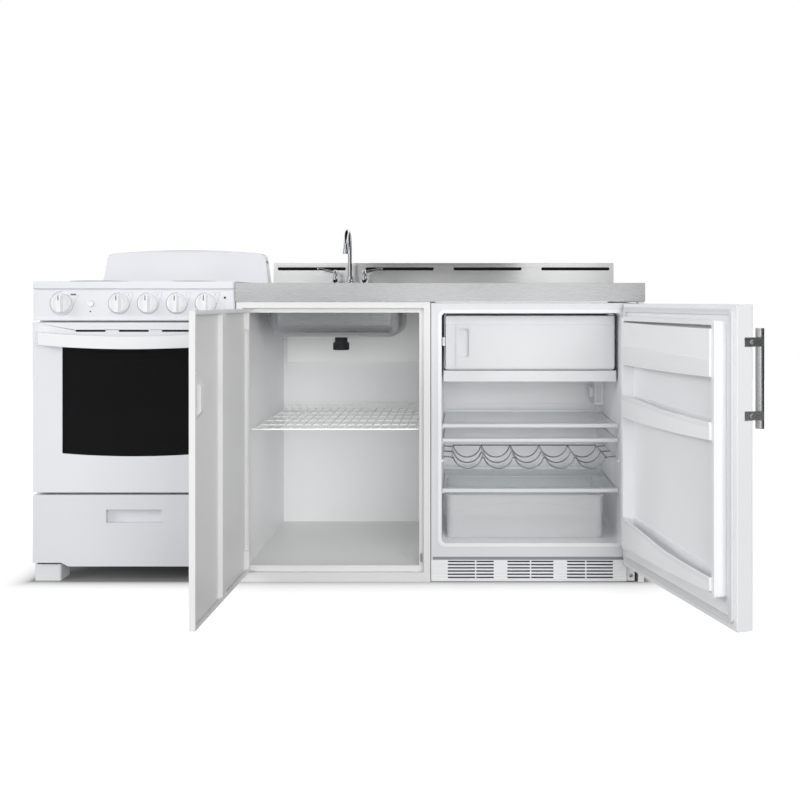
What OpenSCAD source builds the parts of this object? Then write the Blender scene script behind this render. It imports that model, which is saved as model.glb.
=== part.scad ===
// Kitchenette unit: an electric range with oven and coil hob, then a stainless worktop with a
// sink, standing over a sink cabinet and an undercounter refrigerator.
// +X runs to the right, +Y towards the wall and +Z up. The origin is on the floor, under the
// middle of the run's width and depth. The doors of the cabinet and the refrigerator stand open.

/* [Run] */
// Height of the worktop above the floor
worktop_h = 893; // [870:1:920]
// Depth from the front plane to the wall
unit_d = 610; // [600:1:640]
// Gap between neighbouring units
seam = 2; // [1:0.5:4]
// Thickness of the worktop's stainless sheet
worktop_t = 1.5; // [1:0.1:2]
// Height of the worktop's front skirt
skirt_h = 56; // [50:1:60]
// How far the skirt stands in front of the cabinets
overhang = 4; // [3:0.5:10]
// Thickness of the folded cabinet sheet
sheet = 1.5; // [1:0.1:2]

/* [Backsplash] */
// Height of the backsplash above the worktop
splash_h = 82; // [75:1:110]
// Depth of the backsplash
splash_d = 12; // [10:0.5:20]
// Length of a vent slot
slot_w = 245; // [200:1:250]
// Height of a vent slot
slot_h = 10.5; // [6:0.5:14]
// Gap between vent slots
slot_gap = 71; // [60:1:75]

/* [Range] */
// Width of the range
range_w = 604; // [596:1:620]
// Rise of the cooktop above the worktop
cooktop_rise = 5; // [0:1:10]
// Height of the cooktop's edge
cooktop_h = 22; // [18:1:30]
// Thickness of the range's sheet
range_sheet = 1.5; // [1.2:0.1:2]
// Height of the control panel
panel_h = 95; // [85:1:105]
// Gap over the oven door
door_gap = 6; // [4:1:9]
// Gap over the storage drawer
drawer_gap = 7; // [5:1:10]
// Height of the oven door
oven_door_h = 508; // [500:1:520]
// Thickness of the oven door
oven_door_t = 45; // [42:1:50]
// Height of the body above the floor
foot_h = 49; // [45:1:55]
// Height of the backguard above the cooktop, at its middle
guard_h = 122; // [100:1:150]
// Depth of the backguard
guard_d = 58; // [50:1:65]

/* [Oven] */
// Width of the oven cavity
cavity_w = 454; // [440:1:460]
// Height of the oven cavity
cavity_h = 400; // [390:1:405]
// Depth of the oven cavity
cavity_d = 468; // [450:1:480]
// Width of the oven window
window_w = 427; // [400:1:430]
// Height of the oven window at its sides
window_h = 317; // [300:1:325]
// Diameter of an oven rack's frame wire
rack_frame_d = 6; // [5:0.5:7]
// Diameter of an oven rack's cross wire
rack_wire_d = 4; // [3:0.5:5]
// Number of cross wires on an oven rack
rack_wires = 17; // [11:1:21]
// Radius of the oven door's hinge pins
oven_pin_r = 4; // [3:0.5:4.5]

/* [Handle] */
// Height of the oven handle's band
handle_h = 37; // [30:1:42]
// How far the oven handle stands out
handle_out = 44; // [38:1:50]
// Thickness of the oven handle's bow
handle_t = 15; // [12:1:18]

/* [Knobs] */
// Radius of a knob's skirt
knob_r = 29.5; // [26:0.5:30]
// Height of a knob above the panel
knob_h = 27; // [22:1:32]
// Distance of the end knobs from the panel's ends
knob_inset = 87; // [80:1:95]
// Distance between burner knobs
knob_pitch = 86.3; // [80:0.1:90]
// Radius of a switch shaft
shaft_r = 3; // [2.5:0.5:3.5]
// Radius of the oven-light button
button_r = 10; // [8:0.5:11]
// Travel of the oven-light button
button_travel = 3; // [2:0.5:4]

/* [Hob] */
// Hole radius for a large burner
burner_big_r = 104; // [98:1:108]
// Hole radius for a small burner
burner_small_r = 82; // [76:1:88]
// Distance of the burners from the range's side
burner_x = 155; // [145:1:160]
// Distance of the front burners from the front plane
burner_front_y = 148; // [142:1:155]
// Distance from a rear burner's middle to the backguard
burner_rear = 154; // [146:1:160]
// Diameter of the coil's tube
coil_d = 7.5; // [6:0.5:8]
// Distance between the coil's turns
coil_pitch = 13; // [12:0.5:14]

/* [Drawer] */
// Depth of the storage drawer's tray
tray_d = 450; // [420:1:470]
// Height of the storage drawer's tray
tray_h = 120; // [100:1:130]
// Thickness of the storage drawer's front
drawer_front_t = 43; // [38:1:44]

/* [Sink cabinet] */
// Width of the sink cabinet
sink_cab_w = 580; // [570:1:590]
// Width of the sink cabinet's stiles
stile_w = 20; // [18:0.5:24]
// Width of the ledge that the door closes on
ledge_w = 14; // [12:0.5:16]
// Thickness of the cabinet door
cab_door_t = 16; // [14:0.5:18]
// Height of the rebate above the floor
rebate_z = 28; // [24:1:34]
// Angle that the cabinet door stands open at
cab_door_open = 92; // [88:1:92]
// Radius of the cabinet's hinge pins
cab_pin_r = 3; // [2.5:0.5:3.5]
// Height of the wire shelf above the floor
shelf_z = 455; // [400:1:520]
// Diameter of the wire shelf's long wires
shelf_wire_d = 3; // [2.5:0.5:4]
// Diameter of the wire shelf's cross wires
shelf_cross_d = 5; // [4:0.5:6]
// Distance between the wire shelf's long wires
shelf_pitch = 27; // [24:0.5:34]
// Height of the rear brace's lower edge
brace_z = 620; // [560:1:660]

/* [Sink and faucet] */
// Width of the sink bowl
bowl_w = 430; // [400:1:440]
// Distance from the front plane to the sink bowl
front_deck = 72; // [60:1:85]
// Distance from the sink bowl to the faucet
rear_deck = 63; // [56:1:72]
// Depth of the sink bowl below the worktop
bowl_h = 167; // [150:1:180]
// Radius of the sink bowl's corners
bowl_r = 42; // [36:1:50]
// Thickness of the sink bowl's sheet
bowl_t = 1.2; // [1:0.1:1.5]
// Bore radius of the drain's slip nut, for an inch and a half tailpiece
outlet_r = 19.3; // [19.1:0.1:20]
// Distance between a faucet lever and the spout
faucet_step = 51; // [50:1:52]
// Height of the spout above the worktop
spout_h = 195; // [180:1:220]
// Reach of the spout
spout_reach = 125; // [110:1:150]
// Radius of the spout's tube
spout_r = 7.5; // [6.5:0.5:8.5]
// Radius of the faucet's threaded shanks, for half-inch supply nuts
shank_r = 10.2; // [10:0.1:10.5]
// Length of a faucet shank below the worktop
shank_l = 48; // [40:1:55]

/* [Refrigerator] */
// Width of the refrigerator
fridge_w = 612; // [606:1:618]
// Depth of the refrigerator's body
fridge_d = 555; // [550:1:562]
// Height of the body's underside
plinth_h = 66; // [60:1:72]
// Gap between the refrigerator and the skirt's lower edge
fridge_gap = 4; // [4:0.5:8]
// Thickness of the wall on the side away from the hinge
wall_left = 31; // [28:0.5:36]
// Thickness of the wall on the hinge side
wall_right = 44; // [40:0.5:48]
// Thickness of the roof
wall_top = 30; // [26:0.5:34]
// Thickness of the floor
wall_floor = 50; // [46:0.5:54]
// Thickness of the rear wall
wall_back = 55; // [50:1:65]
// Thickness of the liner's plastic sheet
liner_t = 2; // [1.5:0.1:2.5]
// Height of the freezer door
freezer_door_h = 163; // [155:1:168]
// Thickness of the freezer door
freezer_door_t = 24; // [20:1:26]
// Height of the upper glass shelf
glass_z_upper = 461; // [450:1:475]
// Height of the lower glass shelf
glass_z_lower = 417; // [405:1:425]
// Height of the crisper's glass cover
glass_z_cover = 265; // [260:1:285]
// Height of the bottle rack's rods
rack_z = 358; // [345:1:375]
// Thickness of a glass shelf
glass_t = 4; // [3:0.5:5]
// Number of bottles the rack holds side by side
bottle_n = 5; // [3:1:5]
// Length of the bottle rack's straight ends
rack_end = 31; // [28:0.5:40]
// Diameter of the bottle rack's wire
bottle_wire_d = 4; // [3:0.5:5]
// Width of the crisper
crisper_w = 488; // [460:1:490]
// Height of the crisper
crisper_h = 132; // [115:1:136]

/* [Refrigerator door] */
// Thickness of the door's shell
fridge_door_t = 45; // [40:1:50]
// Space for the gasket behind the shell
gasket_t = 10; // [8:0.5:12]
// Width of the door gasket
gasket_w = 15; // [12:0.5:18]
// Height of the door's lower edge
fridge_door_z = 57; // [54:1:60]
// Angle that the refrigerator door stands open at
fridge_door_open = 106; // [90:1:110]
// Radius of the refrigerator's hinge pins
fridge_pin_r = 4; // [3:0.5:5]
// How far a door bin stands out of the door's inner face
bin_d = 56; // [50:1:57]
// Wall thickness of a door bin
bin_t = 2.5; // [2:0.5:3.5]
// Length of the bar handle
bar_l = 240; // [220:1:260]
// Radius of the bar handle
bar_r = 10.5; // [7:0.5:12]
// How far the axis of the bar handle stands out of the door
bar_out = 24; // [22:1:32]

/* [Clearances] */
// Radial clearance of a hinge pin in its bore
pin_fit = 0.05; // [0.03:0.01:0.08]
// Gap between pieces that slide on each other
slide_gap = 0.3; // [0.2:0.1:0.5]

/* [Hidden] */
$fn = 48;
big_fn = 720;      // for arcs of some metres' radius
wire_fn = 8;       // round wire is drawn with eight sides
eps = 1;           // how far a cut runs past a face

// Colours
range_white = [0.93, 0.935, 0.95];
cab_white = [0.94, 0.94, 0.935];
plastic_white = [0.93, 0.94, 0.95];
steel = [0.72, 0.73, 0.74];
chrome = [0.8, 0.81, 0.83];
enamel_grey = [0.32, 0.33, 0.35];
black = [0.05, 0.05, 0.055];
clear = [0.85, 0.9, 0.92, 0.4];

// Places along the run, in the order range, worktop, cabinet, refrigerator, end panel
skirt_gap = 2;
panel_t = 18;
panel_gap = 6;
front_y = -unit_d / 2;
counter_w = 2 * skirt_gap + sink_cab_w + seam + fridge_w + panel_gap + panel_t + 0.5;
unit_w = range_w + seam + counter_w;
range_x = -unit_w / 2;
counter_x = range_x + range_w + seam;
cab_x = counter_x + skirt_gap;
fridge_x = cab_x + sink_cab_w + seam;
end_x = fridge_x + fridge_w + panel_gap;

// Levels of the range
range_top = worktop_h + cooktop_rise;
panel_z1 = range_top - cooktop_h;
panel_z0 = panel_z1 - panel_h;
odoor_z1 = panel_z0 - door_gap;
odoor_z0 = odoor_z1 - oven_door_h;
drawer_z1 = odoor_z0 - drawer_gap;
drawer_z0 = foot_h + 8;
body_y0 = oven_door_t + 2;
cavity_z0 = odoor_z0 + 55;
cavity_x0 = (range_w - cavity_w) / 2;
window_z0 = odoor_z0 + 117;
window_sag_top = 5;
window_sag_low = 9;
oven_pin_y = 8;
plug_y = oven_door_t + 6;        // the door's plug reaches this far into the cavity
plug_t = 2;
inner_pane_w = 340;
inner_pane_h = 240;
inner_pane_z = cavity_z0 + 90;
pane_lap = 15;
oven_pin_z = odoor_z0 + 8;
oven_arm_r = 6.5;
oven_arm_t = 12;
oven_arm_inset = 40;
oven_arm_xs = [oven_arm_inset, range_w - oven_arm_inset];
knob_z = panel_z0 + 51;
shaft_out = 14;
hub_r = 4.6;
button_x = (knob_inset + range_w - knob_inset - 3 * knob_pitch) / 2;
lamp_x = range_w - 30;
lamp_zs = [knob_z + 17, knob_z - 21];
lamp_r = 3.6;
well_ring = 6;
bowl_ledge_w = 14;
bowl_ledge_z = -8.5;
cooktop_front = 4;
guard_y = unit_d - guard_d - 2;
drawer_toe = 11;
foot_w = 79;
grip_w = 165;
grip_h = 40;
grip_z = drawer_z0 + 119;
grip_deep = 18;
runner_z = 197;

// Sink cabinet, seen from its left front corner
rebate_z1 = worktop_h - skirt_h - 19;
rebate_x1 = sink_cab_w - stile_w;
frame_d = cab_door_t + 3;
clear_x0 = stile_w + ledge_w;
clear_x1 = rebate_x1 - ledge_w;
clear_z0 = rebate_z + 17;
clear_z1 = rebate_z1 - ledge_w;
carcass_top = worktop_h - worktop_t;
cab_pin_x = stile_w + 8;
cab_pin_y = 5;
cab_door_x0 = cab_pin_x - 4.5;
cab_door_x1 = rebate_x1 - 2;
cab_door_z0 = rebate_z + 2.5;
cab_door_z1 = rebate_z1 - 2;
bracket_t = 1.2;
pin_reach = 20;
pull_z = 597;
pull_h = 122;
pull_w = 50;
pull_x = cab_door_x1 - 48;
floor_y1 = unit_d - 12;

// Sink and faucet, in the worktop's frame
sink_cx = skirt_gap + sink_cab_w / 2 - 8;
bowl_z0 = worktop_h - bowl_h;
faucet_y = unit_d - 103;
bowl_l = faucet_y - rear_deck - front_deck;
sink_cy = front_deck + bowl_l / 2;
drain_r = 20.5;
nut_r = 26;
nut_h = 25;
drain_z0 = bowl_z0 - 46;
spout_arc = spout_reach / 2;
spout_rise = spout_h - spout_arc - spout_r;
bell_r = [17.5, 14.5, 17.5];
bell_h = 24;
stem_r = 6;
tenon_r = 8;
lever_l = 58;

// Refrigerator, seen from its left front corner
fridge_z1 = worktop_h - skirt_h - fridge_gap;
liner_d = fridge_d - wall_back;
liner_x0 = wall_left;
liner_x1 = fridge_w - wall_right;
liner_z0 = plinth_h + wall_floor;
liner_z1 = fridge_z1 - wall_top;
liner_r = 14;
hump_y = liner_d - 128;
hump_z = glass_z_cover - 15;
recess_y = hump_y + 46;
recess_z = hump_z - 28;
fpin_x = fridge_w - 15.5;
fpin_y = -gasket_t - 22;
door_back = -gasket_t;
door_front = -gasket_t - fridge_door_t;
fridge_door_z1 = fridge_z1 - 1.5;
fdoor_x0 = 2;
dike_t = 2;
dike_w = 12;
dike_out = 35;
dike_x0 = liner_x0 + 14;
dike_x1 = liner_x1 - 14;
dike_z0 = liner_z0 + 10;
dike_z1 = liner_z1 - 9;
bin_x0 = dike_x0 + dike_w + slide_gap;
bin_x1 = dike_x1 - dike_w - slide_gap;
fz_x0 = liner_x0 + 11.5;
fz_x1 = liner_x1 - 13.5;
fz_y = 55;
fz_z1 = liner_z1 - 9;
fz_z0 = fz_z1 - freezer_door_h;
fz_pin_x = fz_x1 - 8;
fz_pin_y = fz_y + 12;
fz_pin_r = 2.5;
box_y = fz_y + freezer_door_t + 3;
glass_x0 = liner_x0 + 2;
glass_x1 = liner_x1 - 2;
glass_y0 = 60;
glass_y1 = liner_d - 100;
cover_y1 = liner_d - 88;
rib_w = 6;
rack_cx = (liner_x0 + liner_x1) / 2;
rack_y0 = 80;
rack_y1 = liner_d - 180;
bottle_pitch = (liner_x1 - liner_x0 - 2 * rack_end) / bottle_n;
crisper_x = liner_x0 + 9;
crisper_y = 58;
crisper_l = hump_y - crisper_y - 14;
crisper_z = liner_z0 + slide_gap;
dial_r = 19;
dial_y = liner_d - 85;
dial_z = 530;
handle_z = 655;
handle_clip = 175;

module at_range() translate([range_x, front_y, 0]) children();
module at_counter() translate([counter_x, front_y, 0]) children();
module at_cabinet() translate([cab_x, front_y, 0]) children();
module at_fridge() translate([fridge_x, front_y, 0]) children();

// The doors are drawn closed and turned about their hinge pins to where they stand open.
module at_cabinet_door() at_cabinet() turned([cab_pin_x, cab_pin_y], -cab_door_open) children();
module at_fridge_door() at_fridge() turned([fpin_x, fpin_y], fridge_door_open) children();
module turned(p, angle)
    translate([p.x, p.y, 0]) rotate([0, 0, angle]) translate([-p.x, -p.y, 0]) children();

// A block between two corners
module block(lo, hi) translate(lo) cube(hi - lo);

// A rounded rectangle between two corners
module round_rect(lo, hi, r) {
    translate([lo.x + r, lo.y]) square([hi.x - lo.x - 2 * r, hi.y - lo.y]);
    translate([lo.x, lo.y + r]) square([hi.x - lo.x, hi.y - lo.y - 2 * r]);
    for (x = [lo.x + r, hi.x - r], y = [lo.y + r, hi.y - r]) translate([x, y]) circle(r);
}

// Extrudes a front outline (x, z) from depth y0 back to y1
module front_extrude(y0, y1)
    translate([0, y1, 0]) rotate([90, 0, 0]) linear_extrude(y1 - y0) children();

// Extrudes a side outline (y, z) from x0 to x1
module side_extrude(x0, x1)
    translate([x0, 0, 0]) rotate([90, 0, 90]) linear_extrude(x1 - x0) children();

// A slab with rounded corners as seen from the front
module front_slab(x0, x1, y0, y1, z0, z1, r)
    front_extrude(y0, y1) round_rect([x0, z0], [x1, z1], r);

// A slab with rounded corners as seen from above
module plan_slab(x0, x1, y0, y1, z0, z1, r)
    translate([0, 0, z0]) linear_extrude(z1 - z0) round_rect([x0, y0], [x1, y1], r);

// Points along an arc, from one angle to the other
function arc_points(c, r, a0, a1, n) =
    [for (i = [0 : n]) let (a = a0 + (a1 - a0) * i / n) c + r * [cos(a), sin(a)]];

// Straight round wire between two points
module rod(p, q, d, sides = wire_fn) {
    v = q - p;
    translate(p) rotate([0, acos(v.z / norm(v)), atan2(v.y, v.x)])
        cylinder(h = norm(v), d = d, $fn = sides);
}

// Bent round wire: part of a ring about z
module arc_rod(r, d, from, angle)
    rotate([0, 0, from]) rotate_extrude(angle = angle, $fn = 48)
        translate([r, 0]) circle(d = d, $fn = wire_fn);

// A disc between two heights
module disc(r, z0, z1) translate([0, 0, z0]) cylinder(r = r, h = z1 - z0);

// ---------------------------------------------------------------- Range

module range_body() color(range_white) at_range() {
    s = range_sheet;
    y1 = unit_d - 2;
    x0 = 2;
    x1 = range_w - 2;
    for (x = [x0, x1 - s]) block([x, body_y0, foot_h], [x + s, y1, panel_z1]);
    difference() {
        block([x0, y1 - s, foot_h], [x1, y1, panel_z1]);
        for (z = [panel_z0 - 40 : 16 : panel_z0 + 40], x = [120 : 90 : range_w - 180])
            block([x, y1 - s - eps, z], [x + 70, y1 + eps, z + 5]);
    }
    block([x0, body_y0, foot_h], [x1, y1, foot_h + s]);
    block([x0, body_y0, drawer_z1 + 2], [x1, y1, drawer_z1 + 2 + s]);
    block([x0, body_y0, panel_z0 - 4], [x1, y1, panel_z0 - 4 + s]);
    difference() {
        block([x0, body_y0, foot_h], [x1, body_y0 + s, panel_z1]);
        block([cavity_x0, body_y0 - eps, cavity_z0],
              [cavity_x0 + cavity_w, body_y0 + s + eps, cavity_z0 + cavity_h]);
        block([22, body_y0 - eps, foot_h + 6], [range_w - 22, body_y0 + s + eps, drawer_z1 - 2]);
        block([30, body_y0 - eps, panel_z0 + 6], [range_w - 30, body_y0 + s + eps, panel_z1 - 8]);
    }
    for (side = [0, 1]) translate([side * range_w, 0, 0]) mirror([side, 0, 0]) drawer_rail(y1);
    for (x = oven_arm_xs) oven_arm(x);
}

// Rail that the storage drawer's flange runs on, on the left side
module drawer_rail(y1) {
    block([2, body_y0, runner_z - 26], [6, y1 - 60, runner_z]);
    block([2, body_y0, runner_z - 4], [36, y1 - 60, runner_z]);
}

// Arm and pin that the oven door turns on
module oven_arm(x) {
    half = oven_arm_t / 2;
    block([x - half, oven_pin_y, oven_pin_z - oven_arm_r],
          [x + half, body_y0 + 40, oven_pin_z + oven_arm_r]);
    block([x - half, body_y0, drawer_z1 + 2], [x + half, body_y0 + 40, oven_pin_z]);
    translate([x - half, oven_pin_y, oven_pin_z]) rotate([0, 90, 0])
        cylinder(r = oven_arm_r, h = oven_arm_t);
    translate([x - half - 10, oven_pin_y, oven_pin_z]) rotate([0, 90, 0])
        cylinder(r = oven_pin_r, h = oven_arm_t + 20);
}

// The four burners as [x, y, hole radius, side its plug is on]
burners = [
    [burner_x, burner_front_y, burner_big_r, 1],
    [burner_x, guard_y - burner_rear, burner_small_r, -1],
    [range_w - burner_x, burner_front_y, burner_small_r, 1],
    [range_w - burner_x, guard_y - burner_rear, burner_big_r, -1]
];

// Places a piece at each burner, with its plug towards local +X
module at_burners() at_range() for (b = burners)
    translate([b.x, b.y, range_top]) rotate([0, 0, 90 * b[3]]) children_for(b[2]) children();
module children_for(r) { $hole_r = r; children(); }

module range_cooktop() color(range_white) at_range() difference() {
    plan_slab(0, range_w, -cooktop_front, guard_y, panel_z1, range_top, 10);
    block([3, 3 - cooktop_front, panel_z1 - eps], [range_w - 3, guard_y - 3, range_top - 5]);
    difference() {
        plan_slab(14, range_w - 14, 12, guard_y - 12, range_top - 3, range_top + eps, 18);
        for (b = burners) translate([b.x, b.y, 0]) disc(b[2] + well_ring, range_top - 4, range_top - 1);
    }
    for (b = burners) translate([b.x, b.y, 0]) disc(b[2], range_top - 9, range_top + eps);
}

module range_backguard() color(range_white) at_range() translate([0, 0, range_top]) difference() {
    lo = panel_z1 - range_top;
    round_r = 14;
    front_round_y = guard_y + 12 + round_r;
    intersection() {
        front_extrude(guard_y, unit_d - 2) guard_outline(lo);
        side_extrude(0, range_w) polygon(concat([[unit_d - 2, lo], [guard_y, lo], [guard_y, 10]],
            arc_points([front_round_y, guard_h - round_r], round_r, 180, 90, 8),
            [[unit_d - 8, guard_h], [unit_d - 2, guard_h - 8]]));
    }
    block([18, guard_y + 16, lo - eps], [range_w - 18, unit_d - 4, guard_h - 40]);
}

// Front outline of the backguard: sides drawn in, round shoulders and a shallow arch
module guard_outline(lo) {
    r = 22;
    shoulder_z = guard_h - 12 - r;
    arch_half = range_w / 2 - 20 - r;
    arch_r = pow(arch_half, 2) / 24 + 6;
    a = asin(arch_half / arch_r);
    polygon(concat([[range_w - 7, 0], [range_w - 7, lo], [7, lo], [7, 0]],
        arc_points([20 + r, shoulder_z], r, 180, 90 + a, 8),
        arc_points([range_w / 2, guard_h - arch_r], arch_r, 90 + a, 90 - a, 32),
        arc_points([range_w - 20 - r, shoulder_z], r, 90 - a, 0, 8)));
}

module range_control_panel() color(range_white) at_range() {
    lip = 2;
    difference() {
        intersection() {
            plan_slab(0, range_w, -lip, body_y0 + 40, panel_z0, panel_z1, 12);
            side_extrude(0, range_w)
                polygon([[body_y0, panel_z0], [-lip, panel_z0], [-lip, panel_z0 + 5],
                         [0, panel_z0 + 12], [0, panel_z1 - 9], [3, panel_z1], [body_y0, panel_z1]]);
        }
        block([5, 4, panel_z0 + 4], [range_w - 5, body_y0 + eps, panel_z1 - 4]);
        for (x = knob_xs) panel_hole(x, knob_z, hub_r + 0.6);
        panel_hole(button_x, knob_z, button_r + 0.4);
        for (z = lamp_zs) panel_hole(lamp_x, z, lamp_r);
    }
}
module panel_hole(x, z, r)
    translate([x, 10, z]) rotate([90, 0, 0]) cylinder(r = r, h = 20);

knob_xs = [knob_inset, for (i = [3 : -1 : 0]) range_w - knob_inset - i * knob_pitch];

// Switches behind the panel, and the sockets that the coils plug into
module range_electrics() {
    color([0.75, 0.72, 0.66]) at_range() {
        for (x = knob_xs) translate([x, 0, knob_z]) rotate([90, 0, 0]) {
            block([-19, -19, -40], [19, 19, -4]);
            disc(shaft_r, -5, shaft_out);
        }
        difference() {
            block([button_x - 14, 4, knob_z - 14], [button_x + 14, 34, knob_z + 14]);
            translate([button_x, 20, knob_z]) rotate([90, 0, 0]) cylinder(r = button_r + 0.4, h = 20);
        }
    }
    color([0.8, 0.78, 0.72]) at_burners()
        block([$hole_r + 8, -20, 5 - 22], [$hole_r + 26, 20, -5]);
}

module indicator_lamps() color([0.5, 0.05, 0.05]) at_range() for (z = lamp_zs)
    translate([lamp_x, 0, z]) rotate([90, 0, 0]) rotate_extrude()
        polygon([[0, -14], [lamp_r - 0.1, -14], [lamp_r - 0.1, 0], [lamp_r - 1, 1.6], [0, 2.2]]);

module oven_light_button() color(range_white) at_range()
    translate([button_x, 0, knob_z]) rotate([90, 0, 0]) rotate_extrude()
        polygon([[0, -button_travel - 8], [button_r, -button_travel - 8], [button_r, 3.4],
                 [button_r - 1, 4.4], [button_r - 3, 4.4], [button_r - 5, 3.6], [0, 3.2]]);

// A knob with its back on the panel and its grip upright, drawn along +Z
module knob(i) color(range_white) at_range()
    translate([knob_xs[i], 0, knob_z]) rotate([90, 0, 0]) difference() {
        union() {
            rotate_extrude() polygon([[0, -3.5], [hub_r, -3.5], [hub_r, 1.5], [knob_r, 1.5], [knob_r, 5],
                                      [knob_r - 3, 11], [knob_r - 6, 11.5], [knob_r - 8, 9.5], [0, 9.5]]);
            intersection() {
                disc(knob_r - 4, 5, knob_h);
                translate([0, knob_r, 0]) rotate([90, 0, 0]) linear_extrude(2 * knob_r)
                    polygon([[-9, 8], [9, 8], [6.5, knob_h], [-6.5, knob_h]]);
            }
        }
        disc(shaft_r + pin_fit, -7, shaft_out + 1);
        block([-0.9, 8, knob_h - 1.2], [0.9, knob_r, knob_h + eps]);
    }
module knob_oven() knob(0);
module knob_burner_1() knob(1);
module knob_burner_2() knob(2);
module knob_burner_3() knob(3);
module knob_burner_4() knob(4);

module drip_bowls() color(chrome) at_burners() difference() {
    ledge = $hole_r - bowl_ledge_w;
    rotate_extrude() polygon([[$hole_r - 2, -1], [$hole_r - 4, bowl_ledge_z - 1.5],
                              [ledge, bowl_ledge_z - 1.5], [32, -26], [22, -26], [22, -25], [31.5, -25], [ledge, bowl_ledge_z],
                              [$hole_r - 5.5, bowl_ledge_z], [$hole_r - 3, 0.5],
                              [$hole_r + well_ring - 1, 0.5], [$hole_r + well_ring - 1, -1]]);
    block([$hole_r - 40, -19, -21], [$hole_r - 2.4, 19, 1]);
}

// Spiral heating coils: half rings about two centres, half a turn's pitch apart
module coil_elements() color(enamel_grey) at_burners() {
    top = bowl_ledge_z + slide_gap; // the bars rest on the drip bowl's ledge
    bar_h = 4;
    z = top + bar_h + coil_d / 2 - 0.4;
    outer_r = $hole_r - 8;
    halves = 2 * floor((outer_r - 24) / coil_pitch);
    inner_x = outer_r - halves / 2 * coil_pitch;
    for (k = [0 : halves - 1]) translate([k % 2 == 0 ? 0 : -coil_pitch / 2, 0, z])
        arc_rod(outer_r - k * coil_pitch / 2, coil_d, 180 * (k % 2), 180);
    for (a = [60, 180, 300]) rotate([0, 0, a])
        block([8, -1.5, top], [$hole_r - 6.5, 1.5, top + bar_h]);
    disc(11, top, top + bar_h);
    lead(outer_r, 9, z, -9);
    lead(inner_x, -9, z, -9);
}

// A lead from the coil's end at x down to its socket
module lead(x, y, z, low) {
    rod([x, 0, z], [x + 4, y, low + 1], coil_d - 1.5);
    rod([x + 3, y, low], [$hole_r + 8, y, low], coil_d - 1.5);
}

module oven_liner() color(enamel_grey) at_range() {
    s = range_sheet;
    x0 = cavity_x0;
    x1 = cavity_x0 + cavity_w;
    z1 = cavity_z0 + cavity_h;
    difference() {
        union() {
            block([x0 - 14, body_y0 - 1.5, cavity_z0 - 14], [x1 + 14, body_y0, z1 + 14]);
            block([x0, body_y0 - 1.5, cavity_z0], [x1, body_y0 + cavity_d + s, z1]);
        }
        block([x0 + s, body_y0 - 2, cavity_z0 + s], [x1 - s, body_y0 + cavity_d, z1 - s]);
    }
    // pressed beads that carry the racks
    for (z = rack_zs, side = [0, 1]) translate([side * range_w, 0, 0]) mirror([side, 0, 0])
        block([x0 + s - 0.5, body_y0 + 20, z - 8], [x0 + s + 7, body_y0 + cavity_d, z]);
}
rack_zs = [for (share = [0.31, 0.5875]) cavity_z0 + share * cavity_h];

module oven_racks() color(chrome) at_range() {
    x0 = cavity_x0 + range_sheet + 3.5;
    x1 = range_w - x0;
    y0 = body_y0 + 14;
    y1 = body_y0 + cavity_d - 10;
    for (z = rack_zs) translate([0, 0, z + rack_frame_d / 2 + 0.1]) {
        for (x = [x0, x1]) rod([x, y0, 0], [x, y1, 0], rack_frame_d);
        for (y = [y0, (y0 + y1) / 2, y1])
            rod([x0 - 1.5, y, -0.4], [x1 + 1.5, y, -0.4], rack_frame_d - 1);
        for (i = [1 : rack_wires]) {
            x = x0 + (x1 - x0) * i / (rack_wires + 1);
            rod([x, y0 - 2, 3.2], [x, y1 + 2, 3.2], rack_wire_d);
        }
    }
}

// Bake element near the cavity's floor and broil element under its roof
module oven_elements() color(enamel_grey) at_range() {
    bend = 38;
    y1 = body_y0 + cavity_d;
    for (z = [cavity_z0 + 26, cavity_z0 + cavity_h - 24]) {
        for (i = [-2.5 : 1 : 2.5])
            rod([range_w / 2 + i * 2 * bend, body_y0 + 90, z],
                [range_w / 2 + i * 2 * bend, abs(i) == 2.5 ? y1 : y1 - 70, z], 7);
        for (i = [-2, 0, 2]) translate([range_w / 2 + i * 2 * bend, body_y0 + 90, z])
            arc_rod(bend, 7, 180, 180);
        for (i = [-1, 1]) translate([range_w / 2 + i * 2 * bend, y1 - 70, z]) arc_rod(bend, 7, 0, 180);
    }
}

// The window's outline, its top and lower edges bowed downwards
module window_outline() {
    z1 = window_z0 + window_h;
    low_r = pow(window_w / 2, 2) / (2 * window_sag_low) + window_sag_low / 2;
    top_r = pow(window_w / 2, 2) / (2 * window_sag_top) + window_sag_top / 2;
    difference() {
        intersection() {
            translate([(range_w - window_w) / 2, window_z0 - 20]) square([window_w, window_h + 40]);
            translate([range_w / 2, window_z0 - window_sag_low + low_r]) circle(low_r, $fn = big_fn);
        }
        translate([range_w / 2, z1 - window_sag_top + top_r]) circle(top_r, $fn = big_fn);
    }
}

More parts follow.
